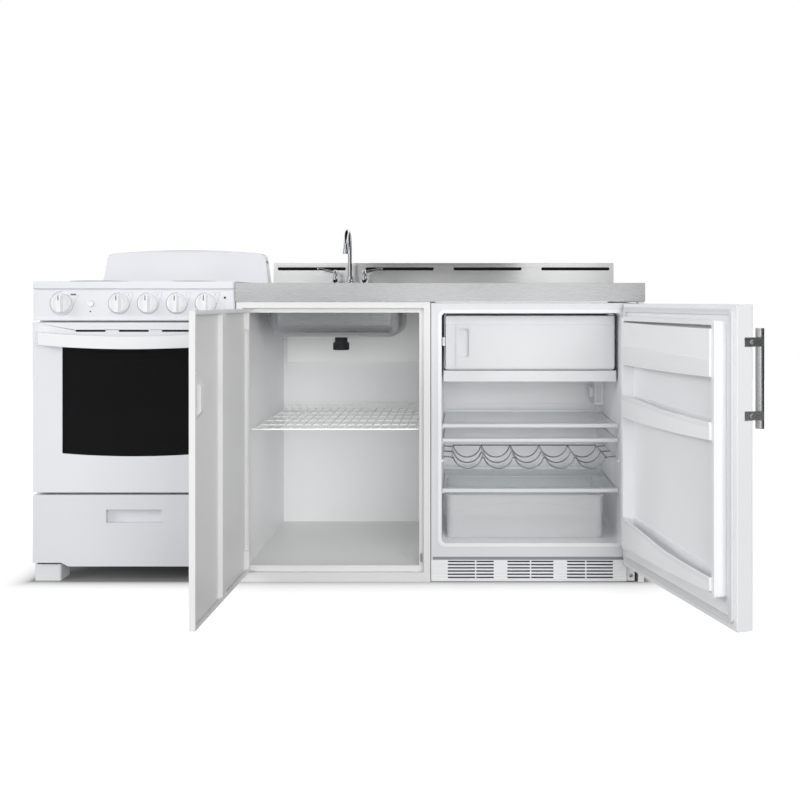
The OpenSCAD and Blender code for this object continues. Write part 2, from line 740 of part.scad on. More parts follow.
module oven_door_frame() color(range_white) at_range() difference() {
    skin = 3;
    side = 4;
    union() {
        difference() {
            front_slab(0, range_w, 0, oven_door_t - 2, odoor_z0, odoor_z1, 5);
            block([side, skin, odoor_z0 + side], [range_w - side, oven_door_t, odoor_z1 - side]);
        }
        for (x = oven_arm_xs)
            block([x - 19, skin - 1, odoor_z0 + 1], [x + 19, oven_door_t - 8, odoor_z0 + 21]);
    }
    front_extrude(-eps, skin + eps) window_outline();
    for (i = [-1 : 1]) front_slab(range_w / 2 + i * 129 - 45, range_w / 2 + i * 129 + 45,
                                  -eps, skin + eps, odoor_z1 - 28, odoor_z1 - 22, 2.9);
    for (x = oven_arm_xs) {
        half = oven_arm_t / 2 + 1;
        reach = oven_arm_r + 0.5;
        translate([x - half, oven_pin_y, oven_pin_z]) rotate([0, 90, 0]) cylinder(r = reach, h = 2 * half);
        block([x - half, oven_pin_y, odoor_z0 - eps], [x + half, oven_door_t, oven_pin_z + reach]);
        block([x - half, oven_pin_y - reach, odoor_z0 - eps], [x + half, oven_pin_y + eps, oven_pin_z]);
        translate([x - half - 10.5, oven_pin_y, oven_pin_z]) rotate([0, 90, 0])
            cylinder(r = oven_pin_r + pin_fit, h = 2 * half + 21);
    }
}

// Outer pane behind the window and inner pane behind the door's plug
module oven_door_glass() color(black) at_range() {
    block([(range_w - window_w) / 2 - 12, 3, window_z0 - 26],
          [(range_w + window_w) / 2 + 12, 7, window_z0 + window_h + 12]);
    block([(range_w - inner_pane_w) / 2, oven_door_t, inner_pane_z],
          [(range_w + inner_pane_w) / 2, plug_y - plug_t, inner_pane_z + inner_pane_h]);
}

module oven_door_inner() color(enamel_grey) at_range() difference() {
    y0 = oven_door_t - 2 - plug_t;
    union() {
        block([4, y0, odoor_z0 + 22], [range_w - 4, oven_door_t - 2, odoor_z1 - 4]);
        front_slab(cavity_x0 + 8, cavity_x0 + cavity_w - 8, y0, plug_y,
                   cavity_z0 + 8, cavity_z0 + cavity_h - 8, 16);
    }
    front_slab(cavity_x0 + 10, cavity_x0 + cavity_w - 10, y0 - eps, plug_y - plug_t,
               cavity_z0 + 10, cavity_z0 + cavity_h - 10, 14);
    front_slab((range_w - inner_pane_w) / 2 + pane_lap, (range_w + inner_pane_w) / 2 - pane_lap,
               y0 - eps, plug_y + eps, inner_pane_z + pane_lap,
               inner_pane_z + inner_pane_h - pane_lap, 12);
}

// Moulded bow handle: a downward-curved band in front view, bowed outwards in plan
module oven_door_handle() color(range_white) at_range() {
    x0 = 16;
    x1 = range_w - x0;
    sag = 14;
    mid_z = odoor_z1 - 59;
    r = pow((x1 - x0) / 2, 2) / (2 * sag) + sag / 2;
    intersection() {
        front_extrude(-handle_out - eps, 0) difference() {
            translate([range_w / 2, mid_z + r - handle_h / 2]) circle(r, $fn = big_fn);
            translate([range_w / 2, mid_z + r + handle_h / 2]) circle(r, $fn = big_fn);
        }
        translate([0, 0, mid_z - handle_h]) linear_extrude(3 * handle_h) polygon([
            [x0, 0], [x0, -12], [x0 + 14, -handle_out + 12], [x0 + 46, -handle_out],
            [x1 - 46, -handle_out], [x1 - 14, -handle_out + 12], [x1, -12], [x1, 0],
            [x1 - 34, 0], [x1 - 46, -handle_out + handle_t + 4], [x1 - 60, -handle_out + handle_t],
            [x0 + 60, -handle_out + handle_t], [x0 + 46, -handle_out + handle_t + 4], [x0 + 34, 0]]);
    }
}

module drawer_front() color(range_white) at_range() difference() {
    t = drawer_front_t;
    gx0 = (range_w - grip_w) / 2;
    gx1 = gx0 + grip_w;
    front_extrude(0, t) polygon([[0, drawer_z1], [0, drawer_z0], [foot_w + 6, drawer_z0],
        [foot_w + 27, drawer_z0 - drawer_toe], [range_w - foot_w - 27, drawer_z0 - drawer_toe],
        [range_w - foot_w - 6, drawer_z0], [range_w, drawer_z0], [range_w, drawer_z1]]);
    difference() {
        block([4, 3, drawer_z0 + 4], [range_w - 4, t - 2, drawer_z1 - 4]);
        block([gx0 - 3, 2, grip_z - 3], [gx1 + 3, grip_deep + 3, grip_z + grip_h + 3]);
    }
    block([60, t - 3, drawer_z0 + 30], [range_w - 60, t + eps, grip_z - 45]);
    block([gx0, -eps, grip_z], [gx1, grip_deep, grip_z + grip_h]);
}

module drawer_tray() color([0.82, 0.83, 0.85]) at_range() {
    x0 = 40;
    x1 = range_w - x0;
    z1 = runner_z + slide_gap + range_sheet;
    z0 = z1 - tray_h;
    y0 = drawer_front_t;
    y1 = y0 + tray_d;
    s = range_sheet;
    difference() {
        block([x0, y0, z0], [x1, y1, z1]);
        block([x0 + s, y0 + s, z0 + s], [x1 - s, y1 - s, z1 + eps]);
    }
    for (x = [x0 - 12, x1 - eps]) block([x, body_y0 + 4, z1 - s], [x + 12 + eps, y1, z1]);
}

// Feet of the range and of the refrigerator
module levelling_feet() color([0.85, 0.86, 0.88]) {
    at_range() for (side = [0, 1]) translate([side * range_w, 0, 0]) mirror([side, 0, 0]) {
        difference() {
            plan_slab(0, foot_w, 14, 84, 0, foot_h, 6);
            block([4, 18, 4], [foot_w - 4, 80, foot_h + eps]);
        }
        translate([50, unit_d - 60, 0]) foot(foot_h);
    }
    at_fridge() for (x = [46, fridge_w - 60]) {
        translate([x, 70, 0]) foot(plinth_h);
        translate([x, fridge_d - 40, 0]) foot(plinth_h);
    }
}
module foot(h) {
    disc(18, 0, 12);
    disc(6, 11, h);
}

// ---------------------------------------------------------------- Sink cabinet

// Both double-skinned sides and the back, welded into one shell
module cabinet_carcass() color(cab_white) at_cabinet() {
    y0 = frame_d;
    y1 = floor_y1;
    side_skins(0, clear_x0, y0, y1);
    side_skins(clear_x1, sink_cab_w, y0, y1);
    block([0, y1 - sheet, 0], [sink_cab_w, y1, carcass_top]);
    // tabs that carry the wire shelf by two of its cross wires
    for (x = [clear_x0 - sheet, clear_x1 + sheet - 14], k = [1, cross_n - 2])
        block([x, cross_y(k) - 12, shelf_rest - 3], [x + 14, cross_y(k) + 12, shelf_rest]);
}
module side_skins(x0, x1, y0, y1) {
    difference() {
        block([x0, y0, 0], [x1, y1, carcass_top]);
        block([x0 + sheet, y0 - eps, -eps], [x1 - sheet, y1 - sheet, carcass_top - sheet]);
    }
}
shelf_rest = shelf_z - shelf_cross_d - shelf_wire_d + 0.9;
cross_n = 6;
function cross_y(k) = 42 + (floor_y1 - 70) * k / (cross_n - 1);

// Front frame with the rebate that the door closes into
module cabinet_frame() color(cab_white) at_cabinet() {
    difference() {
        block([0, 0, 0], [sink_cab_w, frame_d, carcass_top]);
        block([stile_w, -eps, rebate_z], [rebate_x1, frame_d + eps, rebate_z1]);
        difference() {
            block([sheet, sheet, -eps], [sink_cab_w - sheet, frame_d + eps, carcass_top - sheet]);
            block([stile_w - sheet, 0, rebate_z - sheet], [rebate_x1 + sheet, frame_d, rebate_z1 + sheet]);
        }
    }
    difference() {
        block([stile_w - eps, frame_d - sheet, rebate_z - eps], [rebate_x1 + eps, frame_d, rebate_z1 + eps]);
        block([clear_x0, 0, clear_z0], [clear_x1, frame_d + eps, clear_z1]);
    }
}

// Floor pan on three base rails; the middle rail stands on the origin
module cabinet_floor() color(cab_white) at_cabinet() {
    block([clear_x0, frame_d, clear_z0 - sheet], [clear_x1, floor_y1 - sheet, clear_z0]);
    for (y = [70, unit_d / 2, floor_y1 - 60]) difference() {
        block([clear_x0, y - 28, 0], [clear_x1, y + 28, clear_z0 - sheet]);
        block([clear_x0 - eps, y - 28 + sheet, sheet], [clear_x1 + eps, y + 28 - sheet, clear_z0]);
    }
}

module cabinet_rear_brace() color(cab_white) at_cabinet() {
    y1 = floor_y1 - sheet;
    x0 = clear_x0 + 15;
    x1 = clear_x1 - 15;
    difference() {
        block([x0, y1 - 12, brace_z], [x1, y1, carcass_top - 4]);
        block([x0 + sheet, y1 - 12 + sheet, brace_z + sheet],
              [x1 - sheet, y1 + eps, carcass_top - 4 - sheet]);
    }
}

// Hinge brackets with their pins, and the magnetic catch
module cabinet_fittings() color(steel) at_cabinet() {
    translate([cab_pin_x, cab_pin_y, 0]) {
        plan_slab(-7, 26, -4, frame_d - cab_pin_y - sheet, rebate_z, rebate_z + bracket_t, 3);
        disc(cab_pin_r, rebate_z, rebate_z + pin_reach);
        plan_slab(-7, 26, -4, frame_d - cab_pin_y - sheet, rebate_z1 - bracket_t, rebate_z1, 3);
        disc(cab_pin_r, rebate_z1 - pin_reach, rebate_z1);
    }
    block([clear_x1 + 3, frame_d - sheet - 0.9, clear_z0 + 10],
          [clear_x1 + 10, frame_d - sheet, clear_z0 + 36]);
}

module wire_shelf() color("white") at_cabinet() {
    x0 = clear_x0 + 3;
    x1 = clear_x1 - 3;
    y0 = cross_y(0);
    y1 = floor_y1 - 16;
    n = floor((x1 - x0) / shelf_pitch);
    start = (x0 + x1 - n * shelf_pitch) / 2;
    z = shelf_z - shelf_wire_d / 2;
    for (i = [0 : n]) {
        x = start + i * shelf_pitch;
        rod([x, y0 - 2, z], [x, y1, z], shelf_wire_d);
        rod([x, y1, z - 1], [x, y1, z + 20], shelf_wire_d);
    }
    for (k = [0 : cross_n - 1])
        rod([x0, cross_y(k), z - 3], [x1, cross_y(k), z - 3], shelf_cross_d);
    rod([x0, y1 + 1.6, z + 17], [x1, y1 + 1.6, z + 17], shelf_cross_d - 1);
}

// Door pan with returned edges, hinge blocks and a channel stiffener
module cabinet_door() color(cab_white) at_cabinet_door() difference() {
    x0 = cab_door_x0;
    x1 = cab_door_x1;
    z0 = cab_door_z0;
    z1 = cab_door_z1;
    mid = (x0 + x1) / 2;
    union() {
        difference() {
            block([x0, 0.3, z0], [x1, cab_door_t + 0.3, z1]);
            block([x0 + sheet, 0.3 + sheet, z0 + sheet], [x1 - sheet, cab_door_t + 0.3 - sheet, z1 - sheet]);
            block([x0 + 10, 2, z0 + 10], [x1 - 10, cab_door_t + 2, z1 - 10]);
        }
        difference() {
            block([mid - 21, 0.3, z0 + 1], [mid + 21, cab_door_t - 1.2, z1 - 1]);
            block([mid - 21 + sheet, 0.3 + sheet, z0], [mid + 21 - sheet, cab_door_t - 1.2 - sheet, z1]);
        }
        for (z = [z0, z1 - 62]) block([x0, 0.3, z], [x0 + 12, cab_door_t + 0.3, z + 62]);
    }
    for (z = [z0 - eps, z1 - pin_reach + 1]) translate([cab_pin_x, cab_pin_y, z])
        cylinder(r = cab_pin_r + pin_fit, h = pin_reach);
    block([pull_x - pull_w / 2 + 3, -eps, pull_z - pull_h / 2 + 3],
          [pull_x + pull_w / 2 - 3, 3, pull_z + pull_h / 2 - 3]);
}

// Recessed finger cup: a boat-shaped cup with a rim on the door's outer face
module cabinet_door_pull() color(cab_white) at_cabinet_door() {
    w = pull_w / 2 - 3.2;
    h = pull_h / 2 - 3.2;
    deep = 22;
    difference() {
        union() {
            front_slab(pull_x - w - 7, pull_x + w + 7, -1.2, 0.3, pull_z - h - 7, pull_z + h + 7, 6);
            pull_cup(w, h, deep);
        }
        translate([0, -eps, 0]) pull_cup(w - 1.5, h - 1.5, deep - 1.5 + eps);
        block([pull_x - w + 2, -3, pull_z - h + 2], [pull_x + w - 2, 1, pull_z + h - 2]);
    }
}
module pull_cup(w, h, deep) intersection() {
    side_extrude(pull_x - w, pull_x + w) polygon([[-1.2, pull_z - h], [deep, pull_z - h + 26],
                                                  [deep, pull_z + h - 26], [-1.2, pull_z + h]]);
    translate([0, 0, pull_z - h]) linear_extrude(2 * h) polygon([
        [pull_x - w, -2], [pull_x - w + 6, deep], [pull_x + w - 2, deep], [pull_x + w, -2]]);
}

// ---------------------------------------------------------------- Worktop, sink and faucet

module countertop() color(steel) at_counter() {
    t = worktop_t;
    z1 = worktop_h;
    z0 = worktop_h - skirt_h;
    difference() {
        union() {
            block([0, -overhang, z1 - t], [counter_w, unit_d - 4, z1]);
            block([0, -overhang, z0], [counter_w, -overhang + t, z1]);
            for (x = [0, counter_w - t]) block([x, -overhang, z0], [x + t, unit_d - 4, z1]);
        }
        plan_slab(sink_cx - bowl_w / 2 + bowl_t, sink_cx + bowl_w / 2 - bowl_t,
                  sink_cy - bowl_l / 2 + bowl_t, sink_cy + bowl_l / 2 - bowl_t,
                  z1 - t - eps, z1 + eps, bowl_r - bowl_t);
        for (i = [-1 : 1]) translate([sink_cx + i * faucet_step, faucet_y, 0])
            disc(shank_r + 1.5, z1 - t - eps, z1 + eps);
    }
}

module backsplash() color(steel) at_counter() {
    y0 = unit_d - 4 - splash_d;
    z0 = worktop_h;
    z1 = worktop_h + splash_h;
    slots = floor((counter_w + slot_gap) / (slot_w + slot_gap));
    start = (counter_w - slots * slot_w - (slots - 1) * slot_gap) / 2;
    slot_z = z1 - 21;
    difference() {
        block([0, y0, z0], [counter_w, unit_d - 4, z1]);
        block([worktop_t, y0 + worktop_t, z0 + worktop_t],
              [counter_w - worktop_t, unit_d - 4 - worktop_t, z1 - worktop_t]);
        for (i = [0 : slots - 1]) translate([start + i * (slot_w + slot_gap), 0, 0])
            front_slab(0, slot_w, y0 - eps, y0 + worktop_t + eps,
                       slot_z - slot_h / 2, slot_z + slot_h / 2, slot_h / 2 - 0.01);
    }
}

// Drawn bowl with rounded lower corners, its rim welded under the worktop
module sink_bowl() color(steel) at_counter() translate([sink_cx, sink_cy, bowl_z0]) difference() {
    union() {
        bowl_form(0);
        plan_slab(-bowl_w / 2 - 9, bowl_w / 2 + 9, -bowl_l / 2 - 9, bowl_l / 2 + 9,
                  bowl_h - worktop_t - 1.5, bowl_h - worktop_t, bowl_r);
    }
    bowl_form(bowl_t);
    plan_slab(-bowl_w / 2 + bowl_t, bowl_w / 2 - bowl_t, -bowl_l / 2 + bowl_t, bowl_l / 2 - bowl_t,
              bowl_h - worktop_t - 5, bowl_h, bowl_r - bowl_t);
    disc(drain_r + 1, -eps, 10);
}
module bowl_form(inset) {
    w = bowl_w / 2 - inset;
    l = bowl_l / 2 - inset;
    r = bowl_r - inset;
    draft = 10;
    hull() for (x = [-1, 1], y = [-1, 1]) {
        translate([x * (w - r), y * (l - r), bowl_h - worktop_t - 0.5]) cylinder(r = r, h = 0.5, $fn = 32);
        translate([x * (w - r - draft), y * (l - r - draft), inset + r * cos(180 / 32)])
            sphere(r, $fn = 32);
    }
}

// Drain body with its slip nut
module sink_drain() color(black) at_counter() translate([sink_cx, sink_cy, 0]) {
    seat = bowl_z0 + bowl_t;
    top = drain_z0 + nut_h;
    rotate_extrude() polygon([[drain_r - 2.5, top], [drain_r, top], [drain_r, seat], [drain_r + 12, seat],
                              [drain_r + 12, seat + 1.2], [drain_r - 1, seat + 2], [drain_r - 2.5, seat]]);
    difference() {
        union() {
            disc(nut_r - 1, drain_z0, top);
            for (a = [0 : 30 : 330]) rotate([0, 0, a]) block([0, -4, drain_z0 + 2], [nut_r, 4, top - 3]);
        }
        disc(outlet_r, drain_z0 - eps, top - 2);
        disc(drain_r - 2.5, top - 3, top + eps);
    }
}

// Lift-out strainer with its knob
module sink_strainer() color(chrome) at_counter()
translate([sink_cx, sink_cy, bowl_z0 + bowl_t - 8]) difference() {
    r = drain_r - 2.5 - 0.4;
    rotate_extrude() polygon([[0, 0], [r - 4, 0], [r, 8], [r + 1, 9.2], [r + 1, 10], [r - 1.2, 10],
                              [r - 5, 1.4], [3, 1.4], [3, 7], [6, 9], [5, 12], [0, 13]]);
    for (a = [0 : 60 : 300]) rotate([0, 0, a]) translate([8.4, 0, -eps]) cylinder(r = 1.8, h = 4);
}

// Faucet bodies with their shanks and nuts, 4 inch centres
module faucet_base() color(chrome) at_counter() for (i = [-1 : 1])
    translate([sink_cx + i * faucet_step, faucet_y, worktop_h]) {
        bore = i == 0 ? tenon_r : stem_r;
        r = bell_r[i + 1];
        difference() {
            rotate_extrude() polygon([[0, 0], [r, 0], [r, 2.5], [r - 1.5, 4], [r - 0.8, 8], [r - 2, 12],
                [(r + bore) / 2 + 1, 16], [bore + 3.2, 20], [bore + 2.6, bell_h], [0, bell_h]]);
            disc(bore + pin_fit, 8, bell_h + eps);
        }
        if (i != 0) {
            disc(shank_r, -shank_l - worktop_t, 0.5);
            difference() {
                disc(19, -worktop_t - 6, -worktop_t);
                disc(shank_r, -worktop_t - 7, 0);
            }
        } else disc(6, -26, 0.5);
    }

// Gooseneck spout that swivels in the middle body
module faucet_spout() color(chrome) at_counter() translate([sink_cx, faucet_y, worktop_h]) {
    disc(tenon_r, 9, bell_h + 1);
    disc(tenon_r + 3, bell_h + 0.3, bell_h + 7);
    disc(spout_r, bell_h + 7, spout_rise);
    translate([0, -spout_arc, spout_rise]) rotate([0, -90, 0]) rotate([0, 0, -90])
        rotate_extrude(angle = 180) translate([spout_arc, 0]) circle(spout_r);
    translate([0, -spout_reach, spout_rise]) rotate_extrude()
        polygon([[0, 0], [spout_r + 1, 0], [spout_r + 1, -4], [spout_r + 3, -16], [spout_r + 3, -20],
                 [6, -20], [6, -12], [0, -12]]);
}

// Lever handle: a hub with a raised arm and a round tip, pointing along +X
module faucet_lever(side) color(chrome) at_counter()
    translate([sink_cx + side * faucet_step, faucet_y, worktop_h]) mirror([side < 0 ? 1 : 0, 0, 0]) {
        disc(stem_r, 9, bell_h + 1);
        rotate_extrude() polygon([[0, bell_h + 0.3], [stem_r + 3, bell_h + 0.3], [stem_r + 1, bell_h + 8],
                                  [stem_r, bell_h + 16], [stem_r + 2.5, bell_h + 22], [stem_r, bell_h + 29],
                                  [0, bell_h + 31]]);
        hull() {
            translate([4, 0, bell_h + 23]) sphere(5, $fn = 20);
            translate([lever_l * 0.6, 0, bell_h + 30]) scale([1.4, 1, 0.55]) sphere(4.6, $fn = 20);
        }
        hull() {
            translate([lever_l * 0.6, 0, bell_h + 30]) scale([1.4, 1, 0.55]) sphere(4.6, $fn = 20);
            translate([lever_l, 0, bell_h + 34]) scale([1.1, 1, 0.7]) sphere(6, $fn = 20);
        }
    }
module faucet_lever_left() faucet_lever(-1);
module faucet_lever_right() faucet_lever(1);

// Side panel that carries the worktop's right end
module end_panel() color(cab_white) translate([end_x, front_y, 0]) difference() {
    block([0, 0, 0], [panel_t, unit_d - 10, carcass_top]);
    block([sheet, sheet, sheet], [panel_t - sheet, unit_d - 10 - sheet, carcass_top - sheet]);
    block([-eps, 16, 16], [3, unit_d - 26, carcass_top - 16]);
}

// ---------------------------------------------------------------- Refrigerator

// Steel cabinet with a recess for the compressor at its lower back
module fridge_cabinet() color(plastic_white) at_fridge() difference() {
    difference() {
        block([0, 0, plinth_h], [fridge_w, fridge_d, fridge_z1]);
        block([range_sheet, recess_y, plinth_h - eps], [fridge_w - range_sheet, fridge_d + eps, recess_z]);
    }
    difference() {
        block([range_sheet, range_sheet, plinth_h + range_sheet],
              [fridge_w - range_sheet, fridge_d - range_sheet, fridge_z1 - range_sheet]);
        block([0, recess_y - range_sheet, plinth_h], [fridge_w, fridge_d, recess_z + range_sheet]);
    }
    front_slab(liner_x0 - liner_t - slide_gap, liner_x1 + liner_t + slide_gap, -eps, range_sheet + eps,
               liner_z0 - liner_t - slide_gap, liner_z1 + liner_t + slide_gap, liner_r);
}

// Vacuum-formed liner with its shelf ribs
module fridge_liner() color(plastic_white) at_fridge() {
    t = liner_t;
    difference() {
        union() {
            front_slab(liner_x0 - 10, liner_x1 + 10, -1.5, 0, liner_z0 - 10, liner_z1 + 10, liner_r + 8);
            difference() {
                front_slab(liner_x0 - t, liner_x1 + t, -1, liner_d + t,
                           liner_z0 - t, liner_z1 + t, liner_r + t);
                block([0, hump_y + t, 0], [fridge_w, fridge_d, hump_z - t]);
            }
        }
        difference() {
            front_slab(liner_x0, liner_x1, -2, liner_d, liner_z0, liner_z1, liner_r);
            block([0, hump_y, 0], [fridge_w, fridge_d, hump_z]);
        }
    }
    for (z = [glass_z_upper, glass_z_lower, glass_z_cover, rack_z + 2]) liner_ribs(z - glass_t / 2);
    // raised step on the back wall
    block([110, liner_d - 6, glass_z_lower - 13], [liner_x1 - 60, liner_d + 0.5, glass_z_upper + 20]);
}
module liner_ribs(z) for (x = [liner_x0 - 0.5, liner_x1 + 0.5 - rib_w])
    block([x, 44, z - 7], [x + rib_w, glass_y1 - 16, z]);

// Kick grille: three groups of six louvre slots, each with a rib
module kick_grille() color(plastic_white) at_fridge() {
    group_w = 137;
    group_step = 178;
    pitch = 9.55;
    slot = 4.4;
    x1 = fridge_w - 28;
    difference() {
        block([0, 0, 2], [x1, 2, plinth_h]);
        for (g = [0 : 2], row = [0 : 5]) {
            x = 50 + g * group_step;
            z = 13.4 + row * pitch;
            rib = x + [83, 69, 56][g];
            block([x, -eps, z - slot / 2], [rib - 2, 3, z + slot / 2]);
            block([rib + 2, -eps, z - slot / 2], [x + group_w, 3, z + slot / 2]);
        }
    }
    block([0, 1, plinth_h - 2], [x1, 34, plinth_h]);
    for (x = [0, x1 - 2]) block([x, 1, 2], [x + 2, 34, plinth_h]);
}

// Lower and upper hinge brackets with their pins
module fridge_hinges() color(steel) at_fridge() {
    door_z0 = fridge_door_z;
    translate([fpin_x, fpin_y, 0]) {
        disc(fridge_pin_r, door_z0 - 5, door_z0 + 20);
        disc(fridge_pin_r, fridge_door_z1 - 20, fridge_z1 + 1);
    }
    plan_slab(fpin_x - 11, fpin_x + 11, fpin_y - 11, 2, door_z0 - 5, door_z0 - 2, 6);
    block([fpin_x - 11, 0, 4], [fpin_x + 11, 3, door_z0 - 2]);
    block([fpin_x - 11, 0, plinth_h - 3], [fpin_x + 11, 50, plinth_h]);
    block([fpin_x - 11, 0, 4], [fpin_x - 8, 30, plinth_h]);
    plan_slab(fpin_x - 11, fpin_x + 11, fpin_y - 11, 60, fridge_z1, fridge_z1 + 3, 6);
    for (z = [20]) translate([fpin_x, 1, z]) rotate([90, 0, 0]) cylinder(r = 5, h = 3.5);
}

// Compressor on its tray, and the wire condenser on the back
module cooling_unit() color([0.1, 0.1, 0.11]) at_fridge() {
    block([range_sheet, recess_y, plinth_h], [fridge_w - range_sheet, fridge_d, plinth_h + 3]);
    translate([fridge_w - 182, recess_y + 67, 3]) {
        disc(58, plinth_h + 10, plinth_h + 100);
        translate([0, 0, plinth_h + 100]) scale([1, 1, 0.5]) sphere(58);
        for (a = [45 : 90 : 315]) rotate([0, 0, a]) translate([62, 0, 0]) {
            disc(9, plinth_h, plinth_h + 12);
            block([-14, -7, plinth_h + 10], [8, 7, plinth_h + 13]);
        }
    }
    rows = 9;
    y = fridge_d + 22;
    bend = 26;
    z0 = recess_z + 40;
    for (i = [0 : rows - 1]) rod([80, y, z0 + i * 2 * bend], [fridge_w - 80, y, z0 + i * 2 * bend], 6);
    for (i = [0 : rows - 2])
        translate([i % 2 == 0 ? fridge_w - 80 : 80, y, z0 + (2 * i + 1) * bend]) rotate([90, 0, 0])
            arc_rod(bend, 6, i % 2 == 0 ? -90 : 90, 180);
    for (x = [110 : 48 : fridge_w - 110])
        rod([x, y + 3.4, z0 - 14], [x, y + 3.4, z0 + (2 * rows - 2) * bend + 14], 2.5);
    for (x = [70, fridge_w - 70 - 8], z = [z0 + 2 * bend, z0 + (2 * rows - 6) * bend])
        block([x, fridge_d, z - 5], [x + 8, y + 3, z + 5]);
}

// Freezer compartment: evaporator box with its sill and door keeper
module freezer_compartment() color(plastic_white) at_fridge() {
    t = 4;
    x0 = liner_x0 + 6;
    x1 = liner_x1 - 6;
    z0 = fz_z0 - 4;
    sill = 33;
    sill_y = liner_d - 160;
    difference() {
        front_slab(x0, x1, box_y, liner_d, z0, liner_z1, liner_r);
        front_slab(x0 + t, x1 - t, box_y - eps, liner_d - t, z0 + t, liner_z1 - t, 8);
    }
    difference() {
        block([x0, fz_y + 3, z0 - sill], [x1, sill_y, z0]);
        block([x0 + t, fz_y + 3 + t, z0 - sill + t], [x1 - t, sill_y + eps, z0 - 4]);
    }
    for (z = [liner_z1 - 7, z0 - 4]) block([fz_pin_x - 9, fz_y + 3, z], [fz_pin_x + 8, box_y + 6, z + 4]);
    translate([fz_pin_x, fz_pin_y, 0]) {
        disc(fz_pin_r, fz_z1 - 14, liner_z1 - 4);
        disc(fz_pin_r, z0 - 1, fz_z0 + 14);
    }
    block([x0 - 4, fz_y - 3, fz_z0 + 72], [fz_x0 - 1, box_y + 10, fz_z0 + 98]);
}

module freezer_door() color(plastic_white) at_fridge() difference() {
    y0 = fz_y;
    y1 = fz_y + freezer_door_t;
    front_slab(fz_x0, fz_x1, y0, y1, fz_z0, fz_z1, 5);
    front_slab(fz_x0 + 40, fz_x0 + 70, y0 - eps, y0 + 12, fz_z0 + 38, fz_z1 - 40, 8);
    block([fz_x0 + 34, y0 - eps, fz_z0 - eps], [fz_x0 + 35.2, y0 + 1, fz_z1 + eps]);
    front_slab(fz_x0 + 14, fz_x1 - 26, y1 - 6, y1 + eps, fz_z0 + 14, fz_z1 - 14, 6);
    translate([fz_pin_x, fz_pin_y, 0]) {
        disc(fz_pin_r + pin_fit, fz_z0 - eps, fz_z0 + 15);
        disc(fz_pin_r + pin_fit, fz_z1 - 15, fz_z1 + eps);
    }
}

glass_levels = [[glass_z_upper, glass_y1], [glass_z_lower, glass_y1], [glass_z_cover, cover_y1]];

module shelf_glass() color(clear) at_fridge() for (level = glass_levels)
    block([glass_x0, glass_y0, level[0] - glass_t / 2], [glass_x1, level[1], level[0] + glass_t / 2]);

// Front and rear trims that the glass shelves sit in
module shelf_trims() color(plastic_white) at_fridge() for (level = glass_levels) {
    half = 6;
    translate([0, 0, level[0]]) {
        side_extrude(glass_x0, glass_x1) polygon([
            [38, -3], [40, -half + 0.6], [43, -half], [glass_y0 - 16, -half],
            [glass_y0 - 16, -glass_t / 2], [glass_y0, -glass_t / 2],
            [glass_y0, half - 1], [glass_y0 - 2, half], [43, half], [40, half - 0.6], [38, 3]]);
        block([glass_x0 + rib_w, level[1], -4], [glass_x1 - rib_w, level[1] + 9, 7]);
    }
}

// Bottle rack: rows of scalloped wire on rods that run front to back
module bottle_rack() color(chrome) at_fridge() {
    d = bottle_wire_d;
    r = (bottle_pitch - 4) / 2;
    half = bottle_n * bottle_pitch / 2;
    rows = [rack_y0 + 12, (rack_y0 + rack_y1) / 2, rack_y1 - 12];
    dip = r * sin(14);
    for (y = rows) translate([rack_cx, y, rack_z + dip]) {
        for (i = [0 : bottle_n - 1]) translate([(i + 0.5) * bottle_pitch - half, 0, 0]) rotate([90, 0, 0])
            arc_rod(r, d, 180 + 14, 180 - 28);
        for (side = [-1, 1])
            rod([side * (half - 4), 0, -dip], [side * (rack_cx - glass_x0 - 1), 0, -dip + d / 2 + 0.3], d);
    }
    for (i = [0 : bottle_n]) rod([rack_cx - half + i * bottle_pitch, rack_y0, rack_z],
                                 [rack_cx - half + i * bottle_pitch, rack_y1, rack_z], d + 1.6);
    rod([rack_cx - half, rack_y1 - 4, rack_z + 3.5], [rack_cx + half, rack_y1 - 4, rack_z + 3.5], d);
}

// Crisper drawer with a rim and an arched band on its front
module crisper() color(clear) at_fridge() {
    t = 2.5;
    x0 = crisper_x;
    x1 = crisper_x + crisper_w;
    y0 = crisper_y;
    y1 = crisper_y + crisper_l;
    z1 = crisper_z + crisper_h;
    difference() {
        union() {
            plan_slab(x0 + 5, x1 - 5, y0 + 4, y1, crisper_z, z1, 22);
            plan_slab(x0, x1, y0, y1 + 5, z1 - 4, z1, 24);
        }
        plan_slab(x0 + 5 + t, x1 - 5 - t, y0 + 4 + t, y1 - t, crisper_z + t, z1 + eps, 20);
    }
    arch = 900;
    mid = (x0 + x1) / 2;
    intersection() {
        front_extrude(y0 + 1, y0 + 5) difference() {
            translate([mid, z1 - 24 - arch]) circle(arch, $fn = big_fn);
            translate([mid, z1 - 31 - arch]) circle(arch, $fn = big_fn);
        }
        block([x0 + 24, y0, crisper_z], [x1 - 24, y1, z1 - 3]);
    }
}

module thermostat() color(plastic_white) at_fridge() difference() {
    block([liner_x1 - 30, dial_y - 55, dial_z - 40], [liner_x1, dial_y + 55, dial_z + 40]);
    translate([liner_x1 - 31, dial_y, dial_z]) rotate([0, 90, 0]) cylinder(r = 4 + pin_fit, h = 16);
    block([liner_x1 - 24, dial_y - 60, dial_z - 30], [liner_x1 - 8, dial_y - 45, dial_z + 30]);
}

module thermostat_dial() color("white") at_fridge()
    translate([liner_x1 - 30.5, dial_y, dial_z]) rotate([0, -90, 0]) difference() {
        union() {
            disc(dial_r, 0, 11);
            disc(4, -14, 1);
        }
        block([-1.2, 6, 10], [1.2, dial_r, 12]);
        for (a = [0 : 20 : 340]) rotate([0, 0, a])
            translate([dial_r + 0.6, 0, -eps]) cylinder(r = 1.6, h = 13);
    }

